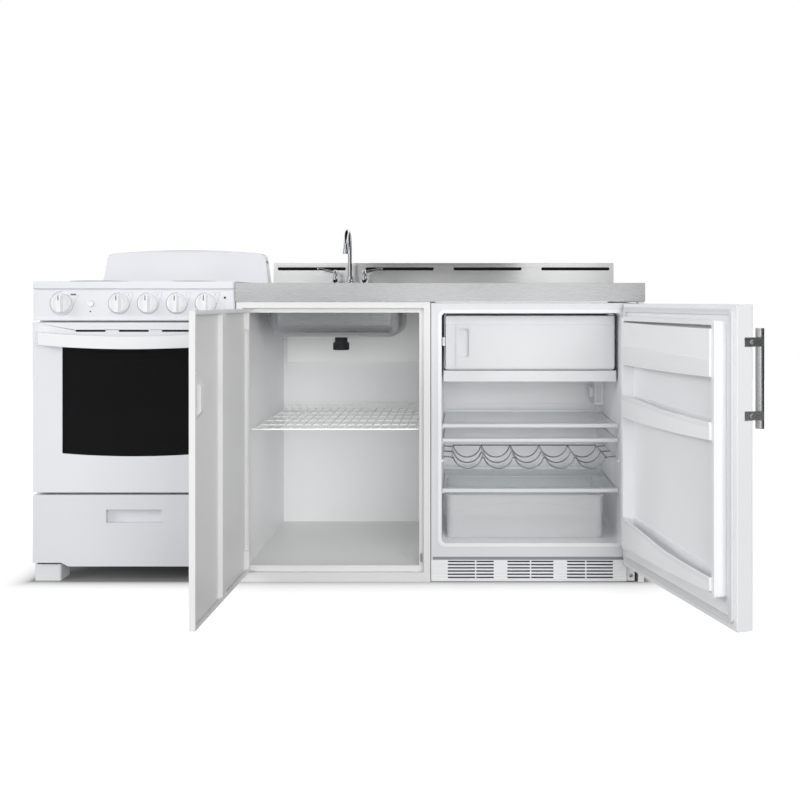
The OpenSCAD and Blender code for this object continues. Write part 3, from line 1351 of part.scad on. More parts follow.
// ---------------------------------------------------------------- Refrigerator door

module fridge_door() color(plastic_white) at_fridge_door() difference() {
    x0 = fdoor_x0;
    x1 = fridge_w;
    z0 = fridge_door_z;
    z1 = fridge_door_z1;
    t = range_sheet;
    union() {
        difference() {
            plan_slab(x0, x1, door_front, door_back + 8, z0, z1, 6);
            plan_slab(x0 + t, x1 - t, door_front + t, door_back + 20, z0 + t, z1 - t, 4.5);
            block([x0 - eps, door_back - 2, z0 - eps], [x1 + eps, door_back + 20, z1 + eps]);
        }
        for (z = [z0, z1 - 26]) block([fpin_x - 14, fpin_y - 14, z], [x1 - 1, door_back - 2, z + 26]);
    }
    translate([fpin_x, fpin_y, 0]) {
        disc(fridge_pin_r + pin_fit, z0 - eps, z0 + 22);
        disc(fridge_pin_r + pin_fit, z1 - 22, z1 + eps);
    }
}

// Formed inner panel with the raised rim that holds the bins
module fridge_door_liner() color(plastic_white) at_fridge_door() {
    t = dike_t;
    difference() {
        union() {
            front_slab(fdoor_x0 + 0.5, fridge_w - 0.5, door_back - 2, door_back,
                       fridge_door_z + 0.5, fridge_door_z1 - 0.5, 6);
            front_slab(dike_x0, dike_x1, door_back - 2, door_back + dike_out, dike_z0, dike_z1, 10);
        }
        front_slab(dike_x0 + dike_w, dike_x1 - dike_w, door_back, door_back + dike_out + eps,
                   dike_z0 + dike_w, dike_z1 - dike_w, 5);
        difference() {
            front_slab(dike_x0 + t, dike_x1 - t, door_back - 3, door_back + dike_out - t,
                       dike_z0 + t, dike_z1 - t, 8.5);
            front_slab(dike_x0 + dike_w - t, dike_x1 - dike_w + t, door_back - 4, door_back + dike_out,
                       dike_z0 + dike_w - t, dike_z1 - dike_w + t, 5);
        }
    }
}

module door_gasket() color([0.86, 0.87, 0.88]) at_fridge_door() difference() {
    front_slab(12, fridge_w - 10, door_back, -2, plinth_h + 6, fridge_z1 - 12, 8);
    front_slab(12 + gasket_w, fridge_w - 10 - gasket_w, door_back - 1, 0,
               plinth_h + 6 + gasket_w, fridge_z1 - 12 - gasket_w, 4);
}

// Bins as [lower edge, height at the hinge side, height at the free side]
door_bin_sizes = [[dike_z0 + dike_w + 4, 73, 33], [505, 63, 43], [657, 121, 116]];

module door_bins() color(plastic_white) at_fridge_door() for (b = door_bin_sizes) difference() {
    bin_solid(b[0], b[0] + b[1], 0);
    bin_solid(b[0] + bin_t, b[0] + b[1] + eps, bin_t);
    translate([bin_x0, door_back - 1, b[0] + b[2]])
        rotate([0, -atan((b[1] - b[2]) / (bin_x1 - bin_x0)), 0])
            cube([2 * (bin_x1 - bin_x0), 2 * bin_d, b[1] + b[2]]);
}

// A bin's outline from above: straight back and ends, bowed front
module bin_solid(z0, z1, inset) translate([0, 0, z0]) linear_extrude(z1 - z0) {
    bow = 16;
    half = (bin_x1 - bin_x0) / 2;
    r = half * half / (2 * bow) + bow / 2;
    intersection() {
        translate([bin_x0 + inset, door_back + inset]) square([2 * (half - inset), bin_d - inset]);
        translate([bin_x0 + half, door_back + bin_d - r]) circle(r - inset, $fn = big_fn);
    }
}

// Bar handle on two angle brackets screwed to the door's free edge
module door_handle() color(steel) at_fridge_door() {
    bar_y = door_front - bar_out;
    bar_x = fdoor_x0 + bar_r + 0.5;
    translate([bar_x, bar_y, handle_z - bar_l / 2]) cylinder(r = bar_r, h = bar_l);
    for (z = [handle_z - handle_clip / 2, handle_z + handle_clip / 2]) {
        block([0, bar_y - 2, z - 11], [fdoor_x0, door_front + 25, z + 11]);
        block([0, bar_y - 3, z - 11], [fdoor_x0 + 1.2, bar_y + 3, z + 11]);
        translate([-1.8, door_front + 7, z]) rotate([0, 90, 0]) cylinder(r = 4.5, h = 2);
    }
}

range_body();
range_cooktop();
range_backguard();
range_control_panel();
range_electrics();
indicator_lamps();
oven_light_button();
knob_oven();
knob_burner_1();
knob_burner_2();
knob_burner_3();
knob_burner_4();
drip_bowls();
coil_elements();
oven_liner();
oven_racks();
oven_elements();
oven_door_frame();
oven_door_glass();
oven_door_inner();
oven_door_handle();
drawer_front();
drawer_tray();
levelling_feet();
cabinet_carcass();
cabinet_frame();
cabinet_floor();
cabinet_rear_brace();
cabinet_fittings();
wire_shelf();
cabinet_door();
cabinet_door_pull();
countertop();
backsplash();
sink_bowl();
sink_drain();
sink_strainer();
faucet_base();
faucet_spout();
faucet_lever_left();
faucet_lever_right();
fridge_cabinet();
fridge_liner();
kick_grille();
fridge_hinges();
cooling_unit();
freezer_compartment();
freezer_door();
shelf_glass();
shelf_trims();
bottle_rack();
crisper();
thermostat();
thermostat_dial();
fridge_door();
fridge_door_liner();
door_gasket();
door_bins();
door_handle();
end_panel();
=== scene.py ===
"""Finishes, small fittings, studio and camera for the kitchenette unit with sink and hob."""
import math

import bmesh
import bpy
from mathutils import Matrix, Vector


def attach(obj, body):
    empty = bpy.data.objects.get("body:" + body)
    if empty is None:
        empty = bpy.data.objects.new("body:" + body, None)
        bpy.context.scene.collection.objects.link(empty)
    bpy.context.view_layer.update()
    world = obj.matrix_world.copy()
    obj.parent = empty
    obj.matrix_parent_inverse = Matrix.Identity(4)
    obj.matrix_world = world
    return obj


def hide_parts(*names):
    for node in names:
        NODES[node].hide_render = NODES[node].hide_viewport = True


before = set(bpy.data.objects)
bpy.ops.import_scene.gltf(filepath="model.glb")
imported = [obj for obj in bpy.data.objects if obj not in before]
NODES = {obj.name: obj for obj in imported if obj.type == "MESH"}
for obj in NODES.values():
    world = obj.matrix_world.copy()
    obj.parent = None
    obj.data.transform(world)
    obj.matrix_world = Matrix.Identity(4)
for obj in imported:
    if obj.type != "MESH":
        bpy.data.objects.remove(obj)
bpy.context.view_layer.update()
MM = 0.001
MICRON = 0.000001


# ---------------------------------------------------------------------------------------------- camera
PICTURE = 800                      # side of the photograph, pixels
FRONT_Y = -0.305                   # the plane of the unit's fronts
FLOOR_ROW = 582                    # picture row in which the fronts meet the floor
ORIGIN_COLUMN = 338.75             # picture column of the frame's origin at the front plane
PIXEL_SIZE = 2.986 * MM            # what one pixel covers at the front plane
EYE_COLUMN = 460                   # picture column and row straight ahead of the camera
EYE_ROW = 300
EYE_DISTANCE = 2.9                 # camera to the front plane
SENSOR = 36.0


def add_camera():
    """A level camera looking along +Y, shifted so that it frames the unit as the photograph does."""
    data = bpy.data.cameras.new("camera")
    data.sensor_width = SENSOR
    data.lens = SENSOR * EYE_DISTANCE / (PICTURE * PIXEL_SIZE)
    data.shift_x = (PICTURE / 2 - EYE_COLUMN) / PICTURE
    data.shift_y = (EYE_ROW - PICTURE / 2) / PICTURE
    camera = bpy.data.objects.new("camera", data)
    camera.location = (
        (EYE_COLUMN - ORIGIN_COLUMN) * PIXEL_SIZE,
        FRONT_Y - EYE_DISTANCE,
        (FLOOR_ROW - EYE_ROW) * PIXEL_SIZE,
    )
    camera.rotation_euler = (math.radians(90), 0, 0)
    bpy.context.scene.collection.objects.link(camera)
    bpy.context.scene.camera = camera


# ------------------------------------------------------------------------------------------- materials
class Finish:
    """A Principled material with procedural helpers. Uniform values are set on the shader's sockets."""

    def __init__(self, name, color, roughness, metallic=0.0, **sockets):
        self.material = bpy.data.materials.new(name)
        self.material.use_nodes = True
        self.tree = self.material.node_tree
        self.shader = self.tree.nodes["Principled BSDF"]
        self.shader.inputs["Base Color"].default_value = (*color, 1.0)
        self.shader.inputs["Roughness"].default_value = roughness
        self.shader.inputs["Metallic"].default_value = metallic
        for socket, value in sockets.items():
            self.shader.inputs[socket.replace("_", " ")].default_value = value
        self.height = None

    def noise(self, scale, stretch=(1, 1, 1), detail=3.0):
        """A noise output, scale in cycles per metre, its cells stretched along the frame's axes."""
        nodes, links = self.tree.nodes, self.tree.links
        place = nodes.new("ShaderNodeTexCoord")
        mapping = nodes.new("ShaderNodeMapping")
        mapping.inputs["Scale"].default_value = [1 / s for s in stretch]
        texture = nodes.new("ShaderNodeTexNoise")
        texture.inputs["Scale"].default_value = scale
        texture.inputs["Detail"].default_value = detail
        links.new(place.outputs["Object"], mapping.inputs["Vector"])
        links.new(mapping.outputs["Vector"], texture.inputs["Vector"])
        return texture.outputs["Fac"]

    def calculate(self, kind, operation, first, second=None):
        """A Math or VectorMath node; second is another output or a constant."""
        node = self.tree.nodes.new("ShaderNode" + kind)
        node.operation = operation
        self.tree.links.new(first, node.inputs[0])
        if isinstance(second, bpy.types.NodeSocket):
            self.tree.links.new(second, node.inputs[1])
        elif second is not None:
            node.inputs[1].default_value = second
        return node.outputs["Value" if kind == "Math" or operation == "LENGTH" else "Vector"]

    def remap(self, value, low, high, start=0.3, end=0.7):
        """value, taken from start..end to low..high."""
        node = self.tree.nodes.new("ShaderNodeMapRange")
        node.inputs["From Min"].default_value = start
        node.inputs["From Max"].default_value = end
        node.inputs["To Min"].default_value = low
        node.inputs["To Max"].default_value = high
        self.tree.links.new(value, node.inputs["Value"])
        return node.outputs["Result"]

    def bump(self, value, depth):
        """Adds a bump of that depth in microns; later bumps ride on earlier ones."""
        node = self.tree.nodes.new("ShaderNodeBump")
        node.inputs["Strength"].default_value = 1.0
        node.inputs["Distance"].default_value = depth * MICRON
        self.tree.links.new(value, node.inputs["Height"])
        if self.height is not None:
            self.tree.links.new(self.height, node.inputs["Normal"])
        self.height = node.outputs["Normal"]
        self.tree.links.new(self.height, self.shader.inputs["Normal"])

    def vary_roughness(self, value, low, high):
        """The roughness goes from low to high with value."""
        self.tree.links.new(self.remap(value, low, high), self.shader.inputs["Roughness"])

    def vary_color(self, value, first, second, start=0.3, end=0.7):
        """The colour goes from first to second as value goes from start to end."""
        mix = self.tree.nodes.new("ShaderNodeMix")
        mix.data_type = "RGBA"
        mix.inputs["A"].default_value = (*first, 1.0)
        mix.inputs["B"].default_value = (*second, 1.0)
        self.tree.links.new(self.remap(value, 0, 1, start, end), mix.inputs["Factor"])
        self.tree.links.new(mix.outputs["Result"], self.shader.inputs["Base Color"])


def shade(color, factor):
    """color, made lighter or darker."""
    return tuple(min(1.0, channel * factor) for channel in color)


def coated(name, color, roughness, peel_depth, peel_scale=260, **sockets):
    """Paint, enamel or moulded plastic: a faint orange peel, cloudy gloss and a trace of colour drift."""
    finish = Finish(name, color, roughness, **sockets)
    finish.vary_color(finish.noise(3.0, detail=2.0), shade(color, 0.985), shade(color, 1.01))
    finish.vary_roughness(finish.noise(6.0), roughness * 0.92, roughness * 1.08)
    finish.bump(finish.noise(peel_scale, detail=1.5), peel_depth)
    return finish.material


def brushed(name, color, roughness, along, patch=0.04, depth=3.0):
    """Brushed steel: fine lines along one axis of the frame, with broad cloudy patches."""
    finish = Finish(name, color, roughness, metallic=1.0)
    stretch = [60.0 if axis == along else 1.0 for axis in "xyz"]
    lines = finish.noise(900, stretch, detail=2.0)
    finish.vary_color(finish.noise(3.0, detail=1.0), shade(color, 1 - patch), shade(color, 1 + patch))
    finish.vary_roughness(lines, roughness * 0.9, roughness * 1.1)
    finish.bump(lines, depth)
    return finish.material


def polished(name, color, roughness):
    """Bright plating with the faint waviness of a buffed casting."""
    finish = Finish(name, color, roughness, metallic=1.0)
    finish.vary_roughness(finish.noise(40), roughness * 0.7, roughness * 1.4)
    finish.bump(finish.noise(60, detail=1.0), 4.0)
    return finish.material


def speckled(name, color, speck, roughness):
    """Oven enamel: dark, glossy, sprinkled with fine pale specks."""
    finish = Finish(name, color, roughness)
    finish.vary_color(finish.noise(700, detail=1.0), color, speck, start=0.66, end=0.72)
    finish.bump(finish.noise(200, detail=1.5), 20.0)
    return finish.material


def see_through(name, color, roughness, alpha, ripple):
    """Clear glass or plastic, thin enough to be shown by its opacity."""
    finish = Finish(name, color, roughness, Alpha=alpha)
    finish.vary_color(finish.noise(4.0, detail=1.0), shade(color, 0.97), shade(color, 1.02))
    finish.bump(finish.noise(9.0, detail=1.0), ripple)
    return finish.material


def smoked_glass(name):
    """Black oven glass, through which the racks show faintly."""
    finish = Finish(name, (0.008, 0.008, 0.009), 0.05, Alpha=0.80, Specular_IOR_Level=0.18)
    finish.vary_roughness(finish.noise(20), 0.035, 0.07)
    return finish.material


# Colour, roughness, and the depth in microns and cycles per metre of the orange peel
COATED = {
    "range_enamel": ((0.79, 0.80, 0.835), 0.22, 6),
    # Darker copy of the range enamel for the drawer front: painted shade, for the light that falls off
    # low on the range
    "shaded_drawer_enamel": ((0.745, 0.755, 0.79), 0.22, 6),
    "foot_paint": ((0.74, 0.75, 0.765), 0.40, 6),
    "cabinet_paint": ((0.82, 0.82, 0.815), 0.38, 8, 400),
    # Lighter copy of the cabinet paint for the rear brace: painted light
    "lit_brace_paint": ((0.97, 0.97, 0.965), 0.40, 8, 400),
    "melamine": ((0.84, 0.845, 0.85), 0.42, 8, 400),
    "shelf_wire": ((0.97, 0.97, 0.97), 0.30, 4, 600),
    "white_plastic": ((0.86, 0.865, 0.88), 0.34, 4, 500),
    "fridge_plastic": ((0.79, 0.80, 0.815), 0.36, 6, 180),
    # Lighter copy of the refrigerator plastic: partly the liner's own white, partly painted light that
    # lifts the shaded cavity
    "liner_white_and_painted_light": ((0.91, 0.915, 0.93), 0.36, 5, 300),
    "fridge_enamel": ((0.755, 0.765, 0.78), 0.30, 6),
    "gasket": ((0.74, 0.75, 0.765), 0.55, 10, 700),
    # Grey of the painted shadow strip over the kick grille
    "shadow_strip_grey": ((0.29, 0.30, 0.33), 0.6, 10, 900),
    "black_plastic": ((0.014, 0.014, 0.016), 0.38, 10, 900),
    "element": ((0.045, 0.045, 0.048), 0.55, 20, 1500),
    "red_lens": ((0.16, 0.006, 0.01), 0.12, 2),
    "switch_body": ((0.42, 0.38, 0.30), 0.5, 10, 800),
    "print": ((0.13, 0.135, 0.15), 0.6, 5),
}


def make_materials():
    """One material for each slot of the record, and those of pieces that differ from their slot's."""
    materials = {name: coated(name, *values) for name, values in COATED.items()}
    return materials | {
        # Dark grey of the painted shade behind the kick grille's louvres
        "shade_sheet_grey": coated("shade_sheet_grey", (0.075, 0.078, 0.088), 0.8, 10, Specular_IOR_Level=0.1),
        # Black of the oven window's fired border, and of the painted shade behind the backsplash's vents
        "black_frit_and_shade": coated("black_frit_and_shade", (0.012, 0.012, 0.014), 0.9, 10, Specular_IOR_Level=0.05),
        "stainless": brushed("stainless", (0.86, 0.87, 0.88), 0.28, "x", depth=0.4),
        # Lighter copy of the stainless for the backsplash: painted reflection, so that it mirrors more
        # light than the worktop
        "lit_splash_steel": brushed("lit_splash_steel", (0.99, 0.99, 0.99), 0.22, "x", patch=0.03),
        # Darker copy of the stainless for the sink bowl: painted shade in the bowl
        "shaded_bowl_steel": brushed("shaded_bowl_steel", (0.52, 0.535, 0.55), 0.28, "x", patch=0.10),
        "handle_steel": brushed("handle_steel", (0.86, 0.87, 0.88), 0.20, "z", depth=1.0),
        "zinc": brushed("zinc", (0.72, 0.73, 0.74), 0.42, "z"),
        "chrome": polished("chrome", (0.80, 0.81, 0.83), 0.05),
        "rack_wire": polished("rack_wire", (0.42, 0.43, 0.45), 0.16),
        "grey_enamel": speckled("grey_enamel", (0.035, 0.037, 0.042), (0.35, 0.36, 0.38), 0.25),
        "black_glass": smoked_glass("black_glass"),
        "clear_glass": see_through("clear_glass", (0.80, 0.88, 0.87), 0.03, 0.22, 2),
        "clear_plastic": see_through("clear_plastic", (0.92, 0.94, 0.95), 0.16, 0.36, 10),
    }


# Nodes whose finish differs from the rest of their slot
OWN_FINISH = {
    # painted shade: the drawer front takes the darker copy of the range enamel
    "drawer_front": "shaded_drawer_enamel",
    "levelling_feet": "foot_paint",
    # painted shade: the sink bowl takes the darker copy of the stainless
    "sink_bowl": "shaded_bowl_steel",
    # painted reflection: the backsplash takes the lighter copy of the stainless
    "backsplash": "lit_splash_steel",
    # painted light: the rear brace takes the lighter copy of the cabinet paint
    "cabinet_rear_brace": "lit_brace_paint",
    "cabinet_carcass": "melamine",
    "wire_shelf": "shelf_wire",
    "fridge_cabinet": "fridge_enamel",
    "fridge_door": "fridge_enamel",
    "fridge_hinges": "fridge_enamel",
    # partly painted light: the liner, door liner, bins and kick grille take the lighter copy of the
    # refrigerator plastic
    "fridge_liner": "liner_white_and_painted_light",
    "fridge_door_liner": "liner_white_and_painted_light",
    "door_bins": "liner_white_and_painted_light",
    "kick_grille": "liner_white_and_painted_light",
    "bottle_rack": "rack_wire",
    "fridge_handle": "handle_steel",
}


def dress_nodes(materials):
    """Every carried-over node gets its slot's material, found by its material's name in model.glb."""
    for name, obj in NODES.items():
        for place in obj.material_slots:
            found = place.material.name.split(".")[0] if place.material else "white_plastic"
            place.material = materials[OWN_FINISH.get(name, found)]


# ---------------------------------------------------------------------------------------------- stage
def add_world():
    """Plain soft light; the camera, gloss and glass see white."""
    ambient = 0.55
    world = bpy.data.worlds.new("studio")
    bpy.context.scene.world = world
    world.use_nodes = True
    tree = world.node_tree
    background = tree.nodes["Background"]
    background.inputs["Color"].default_value = (1, 1, 1, 1)
    path = tree.nodes.new("ShaderNodeLightPath")
    seen = path.outputs["Is Camera Ray"]
    for ray in ("Is Glossy Ray", "Is Transmission Ray"):
        largest = tree.nodes.new("ShaderNodeMath")
        largest.operation = "MAXIMUM"
        tree.links.new(seen, largest.inputs[0])
        tree.links.new(path.outputs[ray], largest.inputs[1])
        seen = largest.outputs[0]
    strength = tree.nodes.new("ShaderNodeMapRange")
    strength.inputs["To Min"].default_value = ambient
    strength.inputs["To Max"].default_value = 1.0
    tree.links.new(seen, strength.inputs["Value"])
    tree.links.new(strength.outputs["Result"], background.inputs["Strength"])


def add_floor():
    """A pale floor that reads as white, except where the unit stands over it and just beside it, where
    its camera glow fades out: painted shade round the unit's foot.
    """
    size = 14.0
    footprint = (0.92, 0.30, 0)        # half the unit's width and depth
    fade = 0.03                        # distance from the footprint at which half the glow is reached
    bpy.ops.mesh.primitive_plane_add(size=size, location=(0, 0, 0))
    floor = bpy.context.object
    floor.name = "floor"
    finish = Finish("floor_paper", (0.36, 0.36, 0.36), 0.9, Specular_IOR_Level=0.1)
    finish.bump(finish.noise(300), 50)
    place = finish.tree.nodes.new("ShaderNodeTexCoord").outputs["Object"]
    mirrored = finish.calculate("VectorMath", "ABSOLUTE", place)
    outside = finish.calculate("VectorMath", "SUBTRACT", mirrored, footprint)
    away = finish.calculate("VectorMath", "MAXIMUM", outside, (0, 0, 0))
    distance = finish.calculate("VectorMath", "LENGTH", away)
    share = finish.calculate("Math", "DIVIDE", distance, finish.calculate("Math", "ADD", distance, fade))
    # painted shade: the glow for the camera fades out towards the unit's footprint
    to_camera = finish.tree.nodes.new("ShaderNodeLightPath").outputs["Is Camera Ray"]
    glow = finish.calculate("Math", "MULTIPLY", share, to_camera)
    finish.shader.inputs["Emission Color"].default_value = (1, 1, 1, 1)
    finish.tree.links.new(glow, finish.shader.inputs["Emission Strength"])
    floor.data.materials.append(finish.material)


def add_lamp(name, place, target, size, power):
    """A square softbox at place, facing target, left out of what metal and gloss mirror."""
    data = bpy.data.lights.new(name, "AREA")
    data.size = size
    data.energy = power
    lamp = bpy.data.objects.new(name, data)
    lamp.location = place
    lamp.rotation_euler = (Vector(target) - Vector(place)).to_track_quat("-Z", "Y").to_euler()
    lamp.visible_glossy = False
    lamp.visible_camera = False
    bpy.context.scene.collection.objects.link(lamp)


def add_card(name, corners, grey):
    """A studio flag that only metal and gloss see, to give them something dark to reflect."""
    mesh = bpy.data.meshes.new(name)
    mesh.from_pydata(corners, [], [range(len(corners))])
    card = bpy.data.objects.new(name, mesh)
    bpy.context.scene.collection.objects.link(card)
    mesh.materials.append(Finish(name, (grey, grey, grey), 1.0, Specular_IOR_Level=0.0).material)
    card.visible_camera = False
    card.visible_diffuse = False
    card.visible_shadow = False
    card.visible_transmission = False


def upright(x0, y0, x1, y1, z0, z1):
    """Corners of an upright rectangle over a line of the floor plan."""
    return [(x0, y0, z0), (x1, y1, z0), (x1, y1, z1), (x0, y0, z1)]


def add_lamps():
    """Three softboxes round the unit, and a small one in each open compartment."""
    big, small = 2.4, 0.45
    add_lamp("key", (-6.0, -3.2, 2.6), (0, 0, 0.5), big, power=155)
    add_lamp("fill", (2.6, -5.5, 1.6), (0, 0, 0.5), big, power=104)
    add_lamp("front", (0.4, -7.0, 0.9), (0.2, 0, 0.5), big, power=118)
    add_lamp("in_cabinet", (0, FRONT_Y + 0.02, 0.36), (0, 0.3, 0.36), small, power=0.22)
    add_lamp("in_fridge", (0.58, FRONT_Y + 0.11, 0.40), (0.58, 0.3, 0.40), 0.42, power=0.28)


def add_cards():
    """Flags behind the camera, at both sides, overhead, and one in front of the backsplash."""
    wall_y, slit_y, side_x, splash_y, top_z = -5.0, -4.9, 3.4, -0.45, 3.2
    black = 0.01
    ceiling = [(-2.5, -4.0, top_z), (2.0, -4.0, top_z), (2.0, 2.0, top_z), (-2.5, 2.0, top_z)]
    add_card("card_front_left", upright(-4.0, wall_y, -0.5, wall_y, 0.0, 0.98), grey=0.50)
    add_card("card_front_right", upright(1.7, wall_y, 4.0, wall_y, 0.0, 2.6), grey=0.42)
    add_card("card_left", upright(-side_x, -4.4, -side_x, 1.5, 0.0, 2.4), grey=0.50)
    add_card("card_right", upright(side_x, -4.4, side_x, 1.5, 0.0, 2.4), grey=0.05)
    add_card("card_slit_faucet", upright(0.42, slit_y, 0.70, slit_y, 0.6, 2.6), grey=black)
    add_card("card_splash", upright(-0.08, splash_y, 0.62, splash_y, 0.94, 1.7), grey=0.42)
    add_card("card_ceiling", ceiling, grey=0.02)
    add_card("card_slit_handle", upright(-0.42, slit_y, -0.18, slit_y, 0.2, 1.6), grey=black)


# --------------------------------------------------------------------------------------------- places
UNIT_W = 1828.5
RANGE_W = 604
CABINET_W = 580
COUNTER_W = 1222.5
SEAM = 2
SKIRT_GAP = 2                      # from the worktop's end to the sink cabinet


def unit(x, pivot=(0, 0), angle=0.0):
    """From a unit's own millimetres, from its lower left front corner, to the frame's metres."""
    place = Matrix.Translation((x * MM, FRONT_Y, 0)) @ Matrix.Scale(MM, 4)
    hinge = Matrix.Translation((*pivot, 0))
    return place @ hinge @ Matrix.Rotation(math.radians(angle), 4, "Z") @ hinge.inverted()


RANGE_X = -UNIT_W / 2
COUNTER_X = RANGE_X + RANGE_W + SEAM
FRIDGE_X = COUNTER_X + SKIRT_GAP + CABINET_W + SEAM
HINGE = (596.5, -32)               # axis of the refrigerator door
RANGE = unit(RANGE_X)
COUNTER = unit(COUNTER_X)
FRIDGE = unit(FRIDGE_X)
FRIDGE_DOOR = unit(FRIDGE_X, HINGE, angle=106)

KNOB_Z = 832
KNOB_EDGE = 87                     # from each end of the panel to its outer knob
KNOB_PITCH = 86.3
KNOB_H = 27
BURNERS = 4
KNOBS = {"knob_oven": KNOB_EDGE}
for number in range(1, BURNERS + 1):
    KNOBS["knob_burner_%d" % number] = RANGE_W - KNOB_EDGE - (BURNERS - number) * KNOB_PITCH


# ---------------------------------------------------------------------------------------- mesh pieces
SHARP_ANGLE = 35                   # faces of a piece that meet at more than this stay sharp, degrees


def add_piece(name, mesh, place, body, material):
    """A mesh built in a unit's own millimetres, put in the frame and riding on a body."""
    bmesh.ops.remove_doubles(mesh, verts=mesh.verts, dist=0.0005)
    bmesh.ops.recalc_face_normals(mesh, faces=mesh.faces)
    mesh.transform(place)
    for face in mesh.faces:
        face.smooth = True
    data = bpy.data.meshes.new(name)
    mesh.to_mesh(data)
    mesh.free()
    data.set_sharp_from_angle(angle=math.radians(SHARP_ANGLE))
    data.materials.append(material)
    obj = bpy.data.objects.new(name, data)
    bpy.context.scene.collection.objects.link(obj)
    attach(obj, body)
    return obj


def loft(mesh, rings, caps=True):
    """A skin over closed rings of points; caps close its two ends."""
    rows = [[mesh.verts.new(point) for point in ring] for ring in rings]
    count = len(rows[0])
    for near, far in zip(rows, rows[1:]):
        for i in range(count):
            j = (i + 1) % count
            mesh.faces.new((near[i], near[j], far[j], far[i]))
    if caps:
        mesh.faces.new(rows[0])
        mesh.faces.new(rows[-1])


def plate(mesh, outline, y0, y1):
    """A front outline of (x, z) points, thickened from y0 to y1."""
    loft(mesh, [[(x, y, z) for x, z in outline] for y in (y0, y1)])


def bar(mesh, section, x0, x1):
    """A section of (y, z) points, drawn out from x0 to x1."""
    loft(mesh, [[(x, y, z) for y, z in section] for x in (x0, x1)])


def arc(cx, cz, r, start, end, steps):
    """Points of an arc in the (x, z) plane, from start to end in degrees."""
    angles = [math.radians(start + (end - start) * i / steps) for i in range(steps + 1)]
    return [(cx + r * math.cos(a), cz + r * math.sin(a)) for a in angles]


def rounded(x0, x1, z0, z1, r, steps=6):
    """Outline of a rectangle with round corners."""
    return (arc(x1 - r, z1 - r, r, 0, 90, steps) + arc(x0 + r, z1 - r, r, 90, 180, steps)
            + arc(x0 + r, z0 + r, r, 180, 270, steps) + arc(x1 - r, z0 + r, r, 270, 360, steps))


def stroke(path, width):
    """Outline of a line of some width along a path of (x, z) points."""
    left, right = [], []
    for i, (x, z) in enumerate(path):
        ax, az = path[max(i - 1, 0)]
        bx, bz = path[min(i + 1, len(path) - 1)]
        length = math.hypot(bx - ax, bz - az)
        nx, nz = -(bz - az) / length * width / 2, (bx - ax) / length * width / 2
        left.append((x + nx, z + nz))
        right.append((x - nx, z - nz))
    return left + right[::-1]


def screw_head(mesh, centre, out, radius, height):
    """A pan head with a cross recess, its flat side at centre and facing out."""
    rings, spokes = 28, 48
    turn = Vector((0, 0, 1)).rotation_difference(Vector(out)).to_matrix()
    recess_r, slot_half, recess = 0.62 * radius, 0.13 * radius, 0.55 * height

    def top(u, v):
        r = math.hypot(u, v)
        dome = height * math.sqrt(max(0.0, 1 - (r / radius) ** 2.6)) if r < radius else 0.0
        in_cross = min(abs(u), abs(v)) < slot_half and r < recess_r
        return dome - recess if in_cross else dome

    rows = []
    for i in range(rings + 1):
        r = radius * i / rings
        points = [(r * math.cos(a), r * math.sin(a))
                  for a in (2 * math.pi * k / spokes for k in range(spokes))]
        rows.append([tuple(Vector(centre) + turn @ Vector((u, v, top(u, v)))) for u, v in points])
    loft(mesh, rows, caps=False)


# ------------------------------------------------------------------------------------- range fittings
def panel_print(finish):
    """The rings and flags printed round the knobs, and the small marks beside them."""
    ink = 0.12                         # thickness of the print
    line = 0.9
    hairline = 0.45 * line
    mesh = bmesh.new()
    for name, x in KNOBS.items():
        is_oven = name == "knob_oven"
        reach = 38.0 if is_oven else 34.5
        tip = (x + 50, KNOB_Z + 24) if is_oven else (x + 43, KNOB_Z + 31.5)
        foot = (x + reach * 0.94, KNOB_Z - 2)
        plate(mesh, stroke(arc(x, KNOB_Z, reach * 0.92, 84, 360, 60), line), -ink, 0)
        plate(mesh, stroke([(x + 12, tip[1]), tip], hairline), -ink, 0)
        plate(mesh, stroke([tip, foot], hairline), -ink, 0)
        if not is_oven:
            plate(mesh, arc(x + 29, KNOB_Z + 26, 1.3, 0, 330, 11), -ink, 0)
    oven_x = KNOBS["knob_oven"]
    plate(mesh, rounded(oven_x + 27, oven_x + 43, KNOB_Z + 24.6, KNOB_Z + 28.8, 1.2), -ink, 0)
    button_x = (oven_x + KNOBS["knob_burner_1"]) / 2
    plate(mesh, arc(button_x, KNOB_Z - 24, 2.6, 0, 345, 15), -ink, 0)
    add_piece("panel_print", mesh, RANGE, "fixed_unit", finish)


def knob_marks(finish):
    """A grey pointer let into the top of each knob's grip."""
    half_w, low, high = 1.5, 8.5, 24
    let_in, proud = 0.12, 0.1
    for name, x in KNOBS.items():
        mesh = bmesh.new()
        outline = rounded(x - half_w, x + half_w, KNOB_Z + low, KNOB_Z + high, 1.4)
        plate(mesh, outline, let_in - KNOB_H, -proud - KNOB_H)
        add_piece("pointer_" + name, mesh, RANGE, name, finish)


def window_border(finish):
    """Black border fired on the back of the oven window, round its clear middle."""
    glass_back, near, far = 7.0, 0.1, 0.4
    outer = rounded(80, RANGE_W - 80, 362, 712, 6, 8)
    inner = rounded(112, RANGE_W - 112, 404, 676, 16, 8)
    rings = [[(x, glass_back + y, z) for x, z in outline]
             for outline, y in ((outer, near), (inner, near), (inner, far), (outer, far))]
    mesh = bmesh.new()
    loft(mesh, rings + rings[:1], caps=False)
    add_piece("oven_window_border", mesh, RANGE, "oven_door", finish)


